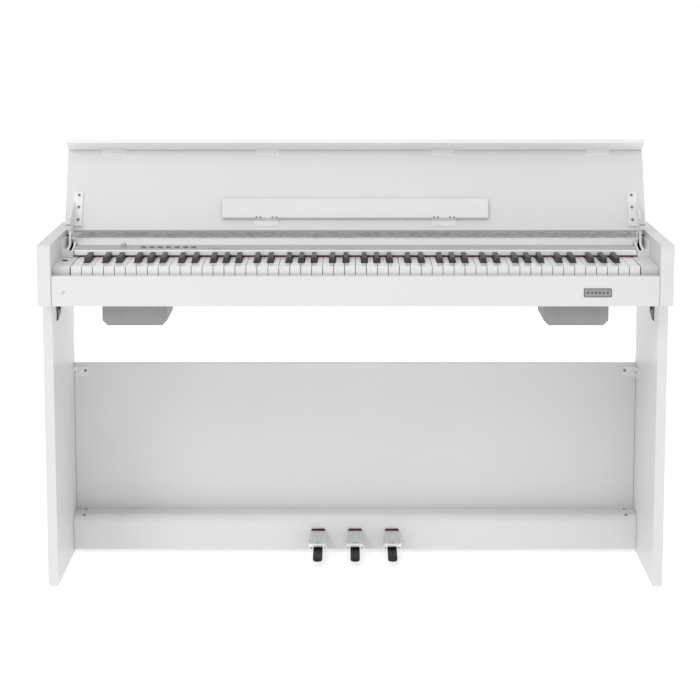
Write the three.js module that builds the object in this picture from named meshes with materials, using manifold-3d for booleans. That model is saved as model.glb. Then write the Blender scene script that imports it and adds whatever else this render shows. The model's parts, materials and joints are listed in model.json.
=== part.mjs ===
// Digital piano on a panel stand, with its lid open. Millimetres, +Z up, front towards -Y.
// The origin is on the floor, under the middle of the whole piano.
// A "setback" is a distance behind the front plane of the end blocks, and it grows towards +Y.
import * as THREE from 'three';
import { mergeVertices } from 'three/addons/utils/BufferGeometryUtils.js';
import Module from 'manifold-3d';

const wasm = await Module();
wasm.setup();

// Driving dimensions: the cabinet
const WIDTH = 1362;
const DEPTH = 412;
const TOUCH = 0.3; // gap left where two boards meet
const ARM_THICK = 29;
const ARM_BOTTOM = 638;
const ARM_TOP = 771;
const ARM_ROUND = 11; // radius of the end blocks' front top edge
const LEG_OUTER = 680;
const LEG_INNER = 658;
const LEG_SETBACK = 63;
const BOARD = 15;
const REAR_SETBACK = 394; // front of the kick panel and of the rear panel
const KICK_BOTTOM = 12;
const KICK_TOP = 440;
const RAIL = { front: 3, back: 21, top: 703 };
const REAR_INSET = 4; // from the end blocks' rear faces to the back boards
const DECK_FRONT = 264.5;
const JACKS = { from: 380, to: 540, bottom: 690, top: 740, z: 715, x: [400, 430, 460], radius: 3.2 };
const POWER_INLET = { x: 510, radius: 5.5 };

// Driving dimensions: the keyboard
const WHITE_COUNT = 52;
const KEY_PITCH = 1225 / WHITE_COUNT;
const KEY_GAP = 1;
const WHITE = { front: 28, notch: 80, bodyEnd: 206, bottom: 699, top: 721, tailTop: 708 };
const BLACK = { front: 82, capEnd: 174, bottom: 711.5, top: 733, tailTop: 719.5 };
const BLACK_WIDTH = 13;
const BLACK_LEAN = 0.22; // share of its width that a black key loses from bottom to top
const BLACK_TAIL_WIDTH = 9;
const BLACK_NOTCH = 15;
const KEY_END = 232; // setback of the keys' rear ends, on the axis they turn on
const COMB_FRONT = 212;
const SOLO_FIRST = 23; // middle C, the first key of the octave whose keys move alone
const SOLO_LAST = 29;
const CHEEK = { inner: 614.2, back: 165 };
const FELT = { front: 175.5, back: 184, bottom: 721.7, top: 724.3, half: 616 };
const TRAY = { half: 605, thick: 4, front: 42, guideBack: 62, guideTop: 678 };
const TRAY_REAR = { front: 228, back: 242, top: 698 };

// Driving dimensions: the control panel, the slots at its ends and the speaker grille
const PANEL_HALF = 624;
const PANEL = { front: 178, back: 237.7, bottom: 724.7, sheet: 3, wallFront: 200, wall: 5 };
const PANEL_TOP_START = { setback: 180, z: 736.2 };
const PANEL_TOP_END = { setback: 233, z: 741 };
const PANEL_LIP_TOP = 746.6;
const MAIN_BOARD = { from: -560, to: -120, front: 186, back: 231, bottom: 725.6, thick: 1.6 };
const LINER = { strip: 625.4, slotFrom: 628.8, slotTo: 634.4, earTo: 639.4, sheet: 648.6 };
const LINER_DEPTH = { front: 167, back: 262, wall: 3.5 };
const LINER_TOP = 757;
const LEDGE_TOP = 736;
const SLOT_BOTTOM = 704;
const STRIP_END = 237.4; // the slot's inner wall stops short of the trim bar
const GRILLE_REAR = 264;
const KNOB = { x: -516, setback: 207, radius: 6, height: 10, shaft: 3 };
const BUTTONS = { count: 7, x: -472.5, pitch: 18.75, setback: 206 };
const BUTTON = { width: 11, depth: 6, proud: 2.5, tall: 8.5 };
const CONTROL_GAP = 0.6;

// Driving dimensions: the lid, drawn closed about its pivot and then turned back to its open stop
const PIVOT = { setback: 224, z: 766.6 };
const LID_OPEN = 117.1; // degrees from closed to the open stop
const LID_HALF = 650;
const LID_THICK = 12;
const LID_REAR = 6; // from the pivot to the panel's rear edge
const LID_LENGTH = 193;
const LID_NOTCH = { half: 633.4, deep: 14 };
const FLAP_THICK = 10;
const FLAP_REACH = 41;
const REST = { half: 298, from: 26, to: 73, thick: 9 };
const BRACKET = { inner: 611, web: 630, outer: 633, from: 9, to: 91, thick: 3 };
const PIN_RADIUS = 3;

// Driving dimensions: the pedals and the speaker boxes
const PEDAL_X = [-86, 0, 86];
const PEDAL_BOX = { front: 330, bottom: 9.5, top: 91, round: 18 };
const LEVER = { tip: 205, end: 380, bottom: 14, top: 24, width: 21.6 };
const LEVER_SLOT = { half: 13, top: 31 }; // a notch in the pedal box's lower edge
const PEDAL_PIVOT = { setback: 372, z: 19 };
const HOOD = { front: 274, top: 55, wall: 2.6 };
const HOOD_HALF = { back: 16.2, middle: 21.4, front: 17.6 };
const FOOT = { half: 125, front: 352, back: 393.7, bottom: 9.8, top: 12.3 };
const EAR = { from: 362, to: 382, top: 30, offset: 12.8, half: 1.8 }; // the cheeks that hold a lever's pin
const SPEAKER = { inner: 406, outer: 546, front: 30, back: 176, bottom: 592, chamfer: 11 };
const SPEAKER_WALL = 3;
const SPEAKER_MOUTH = 40;

const PAINT = { color: 0xe6e7e6, roughness: 0.45, metalness: 0 };
const PANEL_GREY = { color: 0xc9cbcc, roughness: 0.4, metalness: 0.2 };
const IVORY = { color: 0xf4f4f2, roughness: 0.22, metalness: 0 };
const EBONY = { color: 0x1d1e20, roughness: 0.5, metalness: 0 };
const SILVER = { color: 0xc4c6c8, roughness: 0.3, metalness: 0.9 };
const BLACK_PLASTIC = { color: 0x101113, roughness: 0.4, metalness: 0 };
const GREY_PLASTIC = { color: 0x909294, roughness: 0.6, metalness: 0 };
const RED_FELT = { color: 0x8e1424, roughness: 0.95, metalness: 0 };
const BOARD_GREEN = { color: 0x1f5a35, roughness: 0.5, metalness: 0 };

const model = new THREE.Group();
const lid = new THREE.Group();
lid.position.set(0, toY(PIVOT.setback), PIVOT.z);
lid.rotation.x = THREE.MathUtils.degToRad(-LID_OPEN);
model.add(lid);

function toY(setback) {
  return setback - DEPTH / 2;
}

function addPart(name, geometry, finish, parent = model) {
  const material = new THREE.MeshStandardMaterial(finish);
  const mesh = new THREE.Mesh(geometry, material);
  mesh.name = name;
  parent.add(mesh);
  return mesh;
}

// ---- shapes ----

function box(x0, x1, y0, y1, z0, z1) {
  const geometry = new THREE.BoxGeometry(x1 - x0, y1 - y0, z1 - z0);
  return geometry.translate((x0 + x1) / 2, (y0 + y1) / 2, (z0 + z1) / 2);
}

// A box placed by setbacks instead of y.
function board(x0, x1, setback0, setback1, z0, z1) {
  return box(x0, x1, toY(setback0), toY(setback1), z0, z1);
}

function shapeOf(points) {
  return new THREE.Shape(points.map(([u, v]) => new THREE.Vector2(u, v)));
}

// A (y, z) outline run along X.
function prismX(points, x0, x1) {
  const options = { depth: x1 - x0, bevelEnabled: false, curveSegments: 8 };
  const geometry = new THREE.ExtrudeGeometry(shapeOf(points), options);
  const turn = new THREE.Matrix4().set(0, 0, 1, x0, 1, 0, 0, 0, 0, 1, 0, 0, 0, 0, 0, 1);
  return geometry.applyMatrix4(turn);
}

// A (setback, z) outline run along X.
function profileX(points, x0, x1) {
  return prismX(points.map(([setback, z]) => [toY(setback), z]), x0, x1);
}

// An (x, y) outline run upwards.
function prismZ(points, z0, z1) {
  const options = { depth: z1 - z0, bevelEnabled: false };
  return new THREE.ExtrudeGeometry(shapeOf(points), options).translate(0, 0, z0);
}

// An (x, z) outline run from one setback to another.
function prismY(points, setback0, setback1) {
  const options = { depth: setback1 - setback0, bevelEnabled: false };
  const geometry = new THREE.ExtrudeGeometry(shapeOf(points), options);
  const turn = new THREE.Matrix4().set(1, 0, 0, 0, 0, 0, -1, toY(setback1), 0, 1, 0, 0, 0, 0, 0, 1);
  return geometry.applyMatrix4(turn);
}

// A rod along X between x0 and x1.
function rodX(radius, x0, x1, y, z, sides = 24) {
  const rod = new THREE.CylinderGeometry(radius, radius, x1 - x0, sides);
  return rod.rotateZ(Math.PI / 2).translate((x0 + x1) / 2, y, z);
}

// An upright rod.
function rodZ(radius, x, y, z0, z1, sides = 24) {
  const rod = new THREE.CylinderGeometry(radius, radius, z1 - z0, sides);
  return rod.rotateX(Math.PI / 2).translate(x, y, (z0 + z1) / 2);
}

// Points of an arc about (cu, cv), from one angle to another in degrees.
function arc(cu, cv, radius, from, to, steps) {
  const points = [];
  for (let i = 0; i <= steps; i += 1) {
    const angle = THREE.MathUtils.degToRad(from + ((to - from) * i) / steps);
    points.push([cu + radius * Math.cos(angle), cv + radius * Math.sin(angle)]);
  }
  return points;
}

function mirrored(geometry) {
  const copy = geometry.clone().scale(-1, 1, 1);
  const count = copy.attributes.position.count;
  const index = copy.index ? Array.from(copy.index.array) : [...Array(count).keys()];
  for (let i = 0; i < index.length; i += 3) {
    [index[i], index[i + 1]] = [index[i + 1], index[i]];
  }
  copy.setIndex(index);
  return copy;
}

// ---- joins and cuts ----

function toSolid(geometry) {
  const bare = geometry.clone();
  bare.deleteAttribute('normal');
  bare.deleteAttribute('uv');
  const merged = mergeVertices(bare, 1e-4);
  const vertProperties = new Float32Array(merged.attributes.position.array);
  const triVerts = new Uint32Array(merged.index.array);
  return new wasm.Manifold(new wasm.Mesh({ numProp: 3, vertProperties, triVerts }));
}

function toGeometry(solid) {
  const mesh = solid.getMesh();
  const geometry = new THREE.BufferGeometry();
  geometry.setAttribute('position', new THREE.BufferAttribute(new Float32Array(mesh.vertProperties), 3));
  geometry.setIndex(new THREE.BufferAttribute(new Uint32Array(mesh.triVerts), 1));
  geometry.computeVertexNormals();
  return geometry;
}

function join(geometries) {
  const solids = geometries.map(toSolid);
  return toGeometry(solids.slice(1).reduce((whole, part) => whole.add(part), solids[0]));
}

function cut(geometry, tools) {
  return toGeometry(tools.map(toSolid).reduce((rest, tool) => rest.subtract(tool), toSolid(geometry)));
}

// ---- cabinet ----

function addCabinet() {
  const armInner = WIDTH / 2 - ARM_THICK;
  const boardHalf = armInner - TOUCH;
  const bedTop = ARM_BOTTOM + BOARD;
  const side = [
    [0, ARM_BOTTOM],
    [DEPTH, ARM_BOTTOM],
    [DEPTH, ARM_TOP],
    ...arc(ARM_ROUND, ARM_TOP - ARM_ROUND, ARM_ROUND, 90, 180, 6),
  ];
  const arm = profileX(side, armInner, WIDTH / 2);
  const leg = board(LEG_INNER, LEG_OUTER, LEG_SETBACK, DEPTH - 2, 0, ARM_BOTTOM - TOUCH);
  addPart('end_block_right', arm, PAINT);
  addPart('end_block_left', mirrored(arm), PAINT);
  addPart('side_panel_right', leg, PAINT);
  addPart('side_panel_left', mirrored(leg), PAINT);
  const rearBack = DEPTH - REAR_INSET;
  const bed = board(-boardHalf, boardHalf, RAIL.back + TOUCH, rearBack, ARM_BOTTOM, bedTop);
  addPart('key_bed', bed, PAINT);
  const rail = board(-boardHalf, boardHalf, RAIL.front, RAIL.back, ARM_BOTTOM, RAIL.top);
  addPart('front_rail', rail, PAINT);
  const rearFront = rearBack - LID_THICK;
  const deckBottom = ARM_TOP - LID_THICK;
  const rear = board(-boardHalf, boardHalf, rearFront, rearBack, bedTop + TOUCH, deckBottom - TOUCH);
  addPart('rear_panel', rear, PAINT);
  addPart('rear_deck', board(-boardHalf, boardHalf, DECK_FRONT, rearBack, deckBottom, ARM_TOP), PAINT);
  const kickHalf = LEG_INNER - TOUCH;
  const kick = board(-kickHalf, kickHalf, REAR_SETBACK, REAR_SETBACK + BOARD, KICK_BOTTOM, KICK_TOP);
  addPart('kick_panel', kick, PAINT);
  const cheekBottom = bedTop + TOUCH;
  const tongueOuter = LINER.strip - TOUCH;
  const tongueBack = PANEL.wallFront - TOUCH;
  const cheek = join([
    board(CHEEK.inner, boardHalf, WHITE.front, CHEEK.back, cheekBottom, WHITE.top),
    board(CHEEK.inner, tongueOuter, CHEEK.back - 1, tongueBack, cheekBottom, WHITE.top),
  ]);
  addPart('cheek_block_right', cheek, PAINT);
  addPart('cheek_block_left', mirrored(cheek), PAINT);
}

function addJackPlate() {
  const front = DEPTH - REAR_INSET + TOUCH;
  const back = front + 3.2;
  const plate = board(JACKS.from, JACKS.to, front, back, JACKS.bottom, JACKS.top);
  const sockets = JACKS.x.map((x) => rodY(JACKS.radius, x, front - 1, back + 1, JACKS.z));
  const inlet = rodY(POWER_INLET.radius, POWER_INLET.x, front - 1, back + 1, JACKS.z);
  addPart('jack_plate', cut(plate, [...sockets, inlet]), BLACK_PLASTIC);
}

// A rod along Y between two setbacks.
function rodY(radius, x, setback0, setback1, z) {
  const rod = new THREE.CylinderGeometry(radius, radius, setback1 - setback0, 16);
  return rod.translate(x, toY((setback0 + setback1) / 2), z);
}

// ---- keyboard ----

// White key i runs from A (0) at the left end, so the letters repeat every seven keys.
function keyLetter(i) {
  return 'abcdefg'[i % 7];
}

function keyEdge(i) {
  return (i - WHITE_COUNT / 2) * KEY_PITCH;
}

// The black key on the right of white key i stands off the joint by this much.
const BLACK_SHIFT = { a: 4, c: -3, d: 3, f: -4, g: 0 };

function hasBlack(i) {
  return i >= 0 && i < WHITE_COUNT - 1 && keyLetter(i) in BLACK_SHIFT;
}

function blackCentre(i) {
  return keyEdge(i + 1) + BLACK_SHIFT[keyLetter(i)];
}

function whiteKey(i) {
  const left = keyEdge(i) + KEY_GAP / 2;
  const right = keyEdge(i + 1) - KEY_GAP / 2;
  const tailLeft = hasBlack(i - 1) ? blackCentre(i - 1) + BLACK_NOTCH / 2 : left;
  const tailRight = hasBlack(i) ? blackCentre(i) - BLACK_NOTCH / 2 : right;
  const front = toY(WHITE.front);
  const notch = toY(WHITE.notch);
  const end = toY(WHITE.bodyEnd);
  const outline = [[left, front], [right, front]];
  if (tailRight < right) outline.push([right, notch]);
  if (tailRight < right) outline.push([tailRight, notch]);
  outline.push([tailRight, end], [tailLeft, end]);
  if (tailLeft > left) outline.push([tailLeft, notch]);
  if (tailLeft > left) outline.push([left, notch]);
  const body = prismZ(outline, WHITE.bottom, WHITE.top);
  const tail = board(tailLeft, tailRight, WHITE.bodyEnd - 1, KEY_END, WHITE.bottom, WHITE.tailTop);
  return [body, tail];
}

function blackKey(i) {
  const x = blackCentre(i);
  const half = BLACK_WIDTH / 2;
  const topRear = arc(BLACK.capEnd - 5, BLACK.top - 5, 5, 0, 90, 3);
  const profile = [
    [BLACK.front, BLACK.bottom],
    [BLACK.capEnd, BLACK.bottom],
    ...topRear,
    [BLACK.front + 9, BLACK.top],
    [BLACK.front + 5, BLACK.top - 2],
    [BLACK.front + 2, WHITE.top],
  ];
  const cap = profileX(profile, -half, half);
  const place = cap.attributes.position;
  for (let n = 0; n < place.count; n += 1) {
    const rise = (place.getZ(n) - BLACK.bottom) / (BLACK.top - BLACK.bottom);
    place.setX(n, x + place.getX(n) * (1 - BLACK_LEAN * rise));
  }
  const side = BLACK_TAIL_WIDTH / 2;
  const tail = board(x - side, x + side, BLACK.capEnd - 1, KEY_END, BLACK.bottom, BLACK.tailTop);
  return [cap, tail];
}

function whiteComb(first, last) {
  const pieces = [];
  for (let i = first; i <= last; i += 1) pieces.push(...whiteKey(i));
  const left = keyEdge(first) + KEY_GAP / 2;
  const right = keyEdge(last + 1) - KEY_GAP / 2;
  pieces.push(board(left, right, COMB_FRONT, KEY_END, WHITE.bottom, WHITE.tailTop));
  return join(pieces);
}

function blackComb(first, last) {
  const pieces = [];
  const centres = [];
  for (let i = first; i <= last; i += 1) {
    if (hasBlack(i)) pieces.push(...blackKey(i));
    if (hasBlack(i)) centres.push(blackCentre(i));
  }
  const left = Math.min(...centres) - BLACK_TAIL_WIDTH / 2;
  const right = Math.max(...centres) + BLACK_TAIL_WIDTH / 2;
  pieces.push(board(left, right, COMB_FRONT, KEY_END, BLACK.bottom, BLACK.tailTop));
  return join(pieces);
}

function addKeyboard() {
  addPart('keys_white_low', whiteComb(0, SOLO_FIRST - 1), IVORY);
  addPart('keys_white_high', whiteComb(SOLO_LAST + 1, WHITE_COUNT - 1), IVORY);
  addPart('keys_black_low', blackComb(0, SOLO_FIRST - 1), EBONY);
  addPart('keys_black_high', blackComb(SOLO_LAST + 1, WHITE_COUNT - 1), EBONY);
  for (let i = SOLO_FIRST; i <= SOLO_LAST; i += 1) {
    addPart(`key_white_${keyLetter(i)}4`, join(whiteKey(i)), IVORY);
    if (hasBlack(i)) addPart(`key_black_${keyLetter(i)}s4`, join(blackKey(i)), EBONY);
  }
  addPart('key_frame', keyFrame(), GREY_PLASTIC);
  const felt = board(-FELT.half, FELT.half, FELT.front, FELT.back, FELT.bottom, FELT.top);
  addPart('key_felt', felt, RED_FELT);
}

// The tray under the keys: a front guide rail, and a rear rail that the keys turn on.
function keyFrame() {
  const floor = ARM_BOTTOM + BOARD + TOUCH;
  const base = floor + TRAY.thick;
  const profile = [
    [TRAY.front, floor],
    [TRAY_REAR.back, floor],
    [TRAY_REAR.back, TRAY_REAR.top],
    [TRAY_REAR.front, TRAY_REAR.top],
    [TRAY_REAR.front, base],
    [TRAY.guideBack, base],
    [TRAY.guideBack, TRAY.guideTop],
    [TRAY.front, TRAY.guideTop],
  ];
  return profileX(profile, -TRAY.half, TRAY.half);
}

// ---- control panel ----

// The frame of a control that stands on the panel's sloping top.
function panelFrame(x, setback) {
  const rise = PANEL_TOP_END.z - PANEL_TOP_START.z;
  const run = PANEL_TOP_END.setback - PANEL_TOP_START.setback;
  const slope = Math.atan2(rise, run);
  const group = new THREE.Group();
  const z = PANEL_TOP_START.z + ((setback - PANEL_TOP_START.setback) * rise) / run;
  group.position.set(x, toY(setback), z);
  group.rotation.x = slope;
  group.updateMatrix();
  model.add(group);
  return group;
}

function addControls() {
  const holes = [];
  const knobFrame = panelFrame(KNOB.x, KNOB.setback);
  const knobRings = [
    [0, 0.4], [KNOB.radius, 0.4], [KNOB.radius, KNOB.height - 1],
    [KNOB.radius - 1, KNOB.height], [0, KNOB.height],
  ];
  const cap = new THREE.LatheGeometry(knobRings.map(([r, z]) => new THREE.Vector2(r, z)), 32);
  cap.rotateX(Math.PI / 2);
  const shaft = rodZ(KNOB.shaft, 0, 0, -8, 2);
  addPart('volume_knob', join([cap, shaft]), PANEL_GREY, knobFrame);
  holes.push(rodZ(KNOB.shaft + CONTROL_GAP, 0, 0, -12, 12).applyMatrix4(knobFrame.matrix));
  const halfWidth = BUTTON.width / 2;
  const halfDepth = BUTTON.depth / 2;
  for (let n = 0; n < BUTTONS.count; n += 1) {
    const frame = panelFrame(BUTTONS.x + n * BUTTONS.pitch, BUTTONS.setback);
    const low = BUTTON.proud - BUTTON.tall;
    const body = box(-halfWidth, halfWidth, -halfDepth, halfDepth, low, BUTTON.proud);
    addPart(`button_${n + 1}`, body, GREY_PLASTIC, frame);
    const w = halfWidth + CONTROL_GAP;
    const d = halfDepth + CONTROL_GAP;
    holes.push(box(-w, w, -d, d, -12, 12).applyMatrix4(frame.matrix));
  }
  addPart('control_panel', cut(panelShell(), holes), PANEL_GREY);
  const { from, to, front, back, bottom, thick } = MAIN_BOARD;
  addPart('main_board', board(from, to, front, back, bottom, bottom + thick), BOARD_GREEN);
}

// A bent sheet: front lip, sloping top and back wall, with an end wall down to the key bed at each end.
function panelShell() {
  const t = PANEL.sheet;
  const start = PANEL_TOP_START;
  const end = PANEL_TOP_END;
  const profile = [
    [PANEL.front, PANEL.bottom],
    [PANEL.front + t, PANEL.bottom],
    [PANEL.front + t, start.z - t - 0.5],
    [PANEL.back - t, end.z - t],
    [PANEL.back - t, PANEL.bottom],
    [PANEL.back, PANEL.bottom],
    [PANEL.back, PANEL_LIP_TOP],
    [PANEL.back - t + 0.3, PANEL_LIP_TOP],
    [PANEL.back - t + 0.3, end.z + 1.5],
    [end.setback, end.z],
    [start.setback, start.z],
    [PANEL.front, start.z - 1.7],
  ];
  const sheet = profileX(profile, -PANEL_HALF, PANEL_HALF);
  const wallBottom = ARM_BOTTOM + BOARD + TOUCH;
  const wallInner = PANEL_HALF - PANEL.wall;
  const wall = board(wallInner, PANEL_HALF, PANEL.wallFront, PANEL.back, wallBottom, end.z - t + 0.5);
  return join([sheet, wall, mirrored(wall)]);
}

// The trim bar behind the control panel, and the perforated strip that slopes up from it.
function addGrille() {
  const front = PANEL.back + TOUCH;
  const profile = [
    [front, 742],
    [front + 3, 742],
    [front + 3, 752],
    [GRILLE_REAR, 766.5],
    [GRILLE_REAR, 769],
    [front + 2, 754],
    [front, 753.7],
  ];
  const half = LINER.earTo - 1;
  addPart('speaker_grille', profileX(profile, -half, half), PANEL_GREY);
}

// The moulding at each end, in X order: a low wall, the slot for the lid bracket's web,
// a wall with an ear that holds the lid's pivot pin, a ledge with a wall behind it, and a sheet
// against the end block.
function addLiners() {
  const floor = ARM_BOTTOM + BOARD + TOUCH;
  const { strip, slotFrom, slotTo, earTo, sheet } = LINER;
  const { front, back, wall } = LINER_DEPTH;
  const outer = WIDTH / 2 - ARM_THICK - TOUCH;
  const lowWall = [
    [front, floor],
    [STRIP_END, floor],
    [STRIP_END, 750],
    [219, 750],
    [214, 746.5],
    [204, 742],
    [front, 736.5],
  ];
  const earWall = [
    [front, floor],
    [back, floor],
    [back, 740],
    [236, 741],
    [230, 762],
    ...arc(PIVOT.setback, PIVOT.z, 6, 0, 180, 8),
    [214, 748],
    [204, 742.5],
    [front, 736.5],
  ];
  const liner = join([
    board(strip, outer, front, back, floor, SLOT_BOTTOM),
    board(strip, earTo, front, front + wall, floor, 736.5),
    board(earTo - 1, outer, front, back, floor, LEDGE_TOP),
    board(earTo - 1, outer, back - wall, back, floor, LINER_TOP),
    board(sheet, outer, front, back, floor, LINER_TOP),
    profileX(lowWall, strip, slotFrom),
    profileX(earWall, slotTo, earTo),
    rodX(PIN_RADIUS, BRACKET.web - 0.8, slotTo + 2, toY(PIVOT.setback), PIVOT.z),
  ]);
  addPart('end_liner_right', liner, PAINT);
  addPart('end_liner_left', mirrored(liner), PAINT);
}

// ---- lid, drawn closed with its pivot at the group's origin, reaching towards -Y ----

const LID_TOP = ARM_TOP - PIVOT.z;
const LID_UNDER = LID_TOP - LID_THICK;

function addLid() {
  const front = -LID_REAR - LID_LENGTH;
  const panel = box(-LID_HALF, LID_HALF, front, -LID_REAR, LID_UNDER, LID_TOP);
  const notchFront = -LID_REAR - LID_NOTCH.deep;
  const notch = box(LID_NOTCH.half, LID_HALF + 5, notchFront, 5, LID_UNDER - 5, LID_TOP + 5);
  addPart('lid_panel', cut(panel, [notch, mirrored(notch)]), PAINT, lid);
  const flapBack = front - TOUCH;
  const flap = box(-LID_HALF, LID_HALF, flapBack - FLAP_THICK, flapBack, LID_UNDER - FLAP_REACH, LID_TOP);
  addPart('lid_flap', flap, PAINT, lid);
  const restTop = LID_UNDER - 0.5;
  const restFront = -LID_REAR - REST.to;
  const restBack = -LID_REAR - REST.from;
  const rest = box(-REST.half, REST.half, restFront, restBack, restTop - REST.thick, restTop);
  addPart('music_rest', rest, PAINT, lid);
  addPart('lid_bracket_right', lidBracket(), PAINT, lid);
  addPart('lid_bracket_left', mirrored(lidBracket()), PAINT, lid);
}

// A plate screwed to the lid, with a web that drops into the slot and turns on the liner's pin.
function lidBracket() {
  const under = LID_UNDER - TOUCH;
  const plate = box(
    BRACKET.inner, BRACKET.outer, -LID_REAR - BRACKET.to, -LID_REAR - BRACKET.from,
    under - BRACKET.thick, under,
  );
  const lobe = 5.2;
  const swing = 58; // the web's reach from the pivot, short of the slot's front wall
  const outline = [
    [-78, under],
    [-56, -23],
    ...arc(0, 0, swing, 209, 248, 5),
    [-17, -52],
    [lobe, -6],
    ...arc(0, 0, lobe, 0, 180, 10),
    [-lobe - 0.3, under],
  ];
  const web = prismX(outline, BRACKET.web, BRACKET.outer);
  const hole = rodX(PIN_RADIUS + 0.3, BRACKET.web - 2, BRACKET.outer + 2, 0, 0);
  return cut(join([plate, web]), [hole]);
}

// ---- pedals ----

function addPedals() {
  const { front, bottom, top, round } = PEDAL_BOX;
  const half = LEG_INNER - TOUCH;
  const back = REAR_SETBACK - TOUCH;
  const profile = [
    [front, bottom],
    [front + BOARD, bottom],
    [front + BOARD, top - round],
    [front + round, top - BOARD],
    [back, top - BOARD],
    [back, top],
    ...arc(front + round, top - round, round, 90, 180, 6),
  ];
  const { half: gap, top: high } = LEVER_SLOT;
  const slots = PEDAL_X.map((x) => board(x - gap, x + gap, front - 5, front + BOARD + 5, 0, high));
  addPart('pedal_box', cut(profileX(profile, -half, half), slots), PAINT);
  const names = ['left', 'middle', 'right'];
  PEDAL_X.forEach((x, n) => {
    addPart(`pedal_${names[n]}`, pedalLever(x), BLACK_PLASTIC);
    addPart(`pedal_hood_${names[n]}`, pedalHood(x), SILVER);
  });
  addPart('pedal_frame', pedalFrame(), GREY_PLASTIC);
}

// A flat lever with a round nose, and the pin that it turns on.
function pedalLever(x) {
  const half = LEVER.width / 2;
  const nose = arc(x, toY(LEVER.tip + half), half, 180, 360, 14);
  const outline = [...nose, [x + half, toY(LEVER.end)], [x - half, toY(LEVER.end)]];
  const lever = prismZ(outline, LEVER.bottom, LEVER.top);
  const pin = rodX(PIN_RADIUS, x - 15, x + 15, toY(PEDAL_PIVOT.setback), PEDAL_PIVOT.z);
  return join([lever, pin]);
}

// The hood's outline from above, drawn in by a wall's thickness for the hollow inside.
function hoodPlan(x, shrink, back) {
  const front = HOOD.front + shrink;
  const right = [
    [HOOD_HALF.back - shrink, back],
    [HOOD_HALF.back - shrink, 319],
    [HOOD_HALF.middle - shrink - 1, 296],
    [HOOD_HALF.middle - shrink, 288],
    [HOOD_HALF.middle - shrink, front + 8],
    [HOOD_HALF.front - shrink, front + 2],
    [HOOD_HALF.front - shrink - 3, front],
  ];
  const left = right.map(([u, setback]) => [-u, setback]).reverse();
  return [...right, ...left].map(([u, setback]) => [x + u, toY(setback)]);
}

// A sloping hood over the lever where it leaves the pedal box, open underneath.
function pedalHood(x) {
  const back = PEDAL_BOX.front - TOUCH;
  const { front, top, wall } = HOOD;
  const outer = [
    [back, 10], [back, top], [back - 6, top], [front + 9, 39.5], [front + 3, 37],
    [front, 34], [front, 30.5], [front + 5, 30], [front + 9, 24],
  ];
  const inner = [
    [back + 5, 0], [back + 5, top - 3], [back - 6, top - 3], [front + 10, 36.5],
    [front + 4, 33.5], [front + 4, 0],
  ];
  const [shell, hollow] = [[outer, 0, back], [inner, wall, back + 5]].map(([side, shrink, end]) => {
    const slice = toSolid(profileX(side, x - 30, x + 30));
    return slice.intersect(toSolid(prismZ(hoodPlan(x, shrink, end), -1, 80)));
  });
  return toGeometry(shell.subtract(hollow));
}

// A foot plate with two cheeks for each lever, bored for its pin.
function pedalFrame() {
  const pieces = [board(-FOOT.half, FOOT.half, FOOT.front, FOOT.back, FOOT.bottom, FOOT.top)];
  const holes = [];
  for (const x of PEDAL_X) {
    for (const side of [-1, 1]) {
      const middle = x + side * EAR.offset;
      pieces.push(board(middle - EAR.half, middle + EAR.half, EAR.from, EAR.to, FOOT.top - 1, EAR.top));
      const y = toY(PEDAL_PIVOT.setback);
      holes.push(rodX(PIN_RADIUS + 0.3, middle - 3, middle + 3, y, PEDAL_PIVOT.z));
    }
  }
  return cut(join(pieces), holes);
}

// ---- speaker boxes under the key bed ----

function addSpeakers() {
  const { inner, outer, front, back, bottom, chamfer } = SPEAKER;
  const wall = SPEAKER_WALL;
  const top = ARM_BOTTOM - TOUCH;
  const outline = (shrink, high) => [
    [inner + shrink, high],
    [inner + shrink, bottom + chamfer],
    [inner + chamfer, bottom + shrink],
    [outer - chamfer, bottom + shrink],
    [outer - shrink, bottom + chamfer],
    [outer - shrink, high],
  ];
  const x = (inner + outer) / 2;
  const y = toY((front + back) / 2);
  const shell = prismY(outline(0, top), front, back);
  const hollow = prismY(outline(wall, top + 5), front + wall, back - wall);
  const mouth = rodZ(SPEAKER_MOUTH, x, y, bottom - 5, bottom + 10, 32);
  const cabinet = cut(shell, [hollow, mouth]);
  addPart('speaker_box_right', cabinet, GREY_PLASTIC);
  addPart('speaker_box_left', mirrored(cabinet), GREY_PLASTIC);
  const driver = speakerDriver().translate(x, y, bottom + wall + TOUCH);
  addPart('speaker_driver_right', driver, BLACK_PLASTIC);
  addPart('speaker_driver_left', mirrored(driver), BLACK_PLASTIC);
}

// Flange, cone and magnet, standing on its flange with the cone facing down.
function speakerDriver() {
  const rings = [
    [0, 12], [12, 12], [38, 1.5], [38, 0], [45, 0], [45, 3], [20, 18], [28, 18], [28, 34], [0, 34],
  ];
  const geometry = new THREE.LatheGeometry(rings.map(([r, z]) => new THREE.Vector2(r, z)), 32);
  return geometry.rotateX(Math.PI / 2);
}

addCabinet();
addJackPlate();
addKeyboard();
addControls();
addGrille();
addLiners();
addLid();
addPedals();
addSpeakers();
model.updateMatrixWorld(true);

export default model;
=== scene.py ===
"""Looks of the digital piano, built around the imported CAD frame. Metres, +Z up, front towards -Y."""

import json
import math
import random

import bmesh
import bpy
from mathutils import Matrix, Vector

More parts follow.
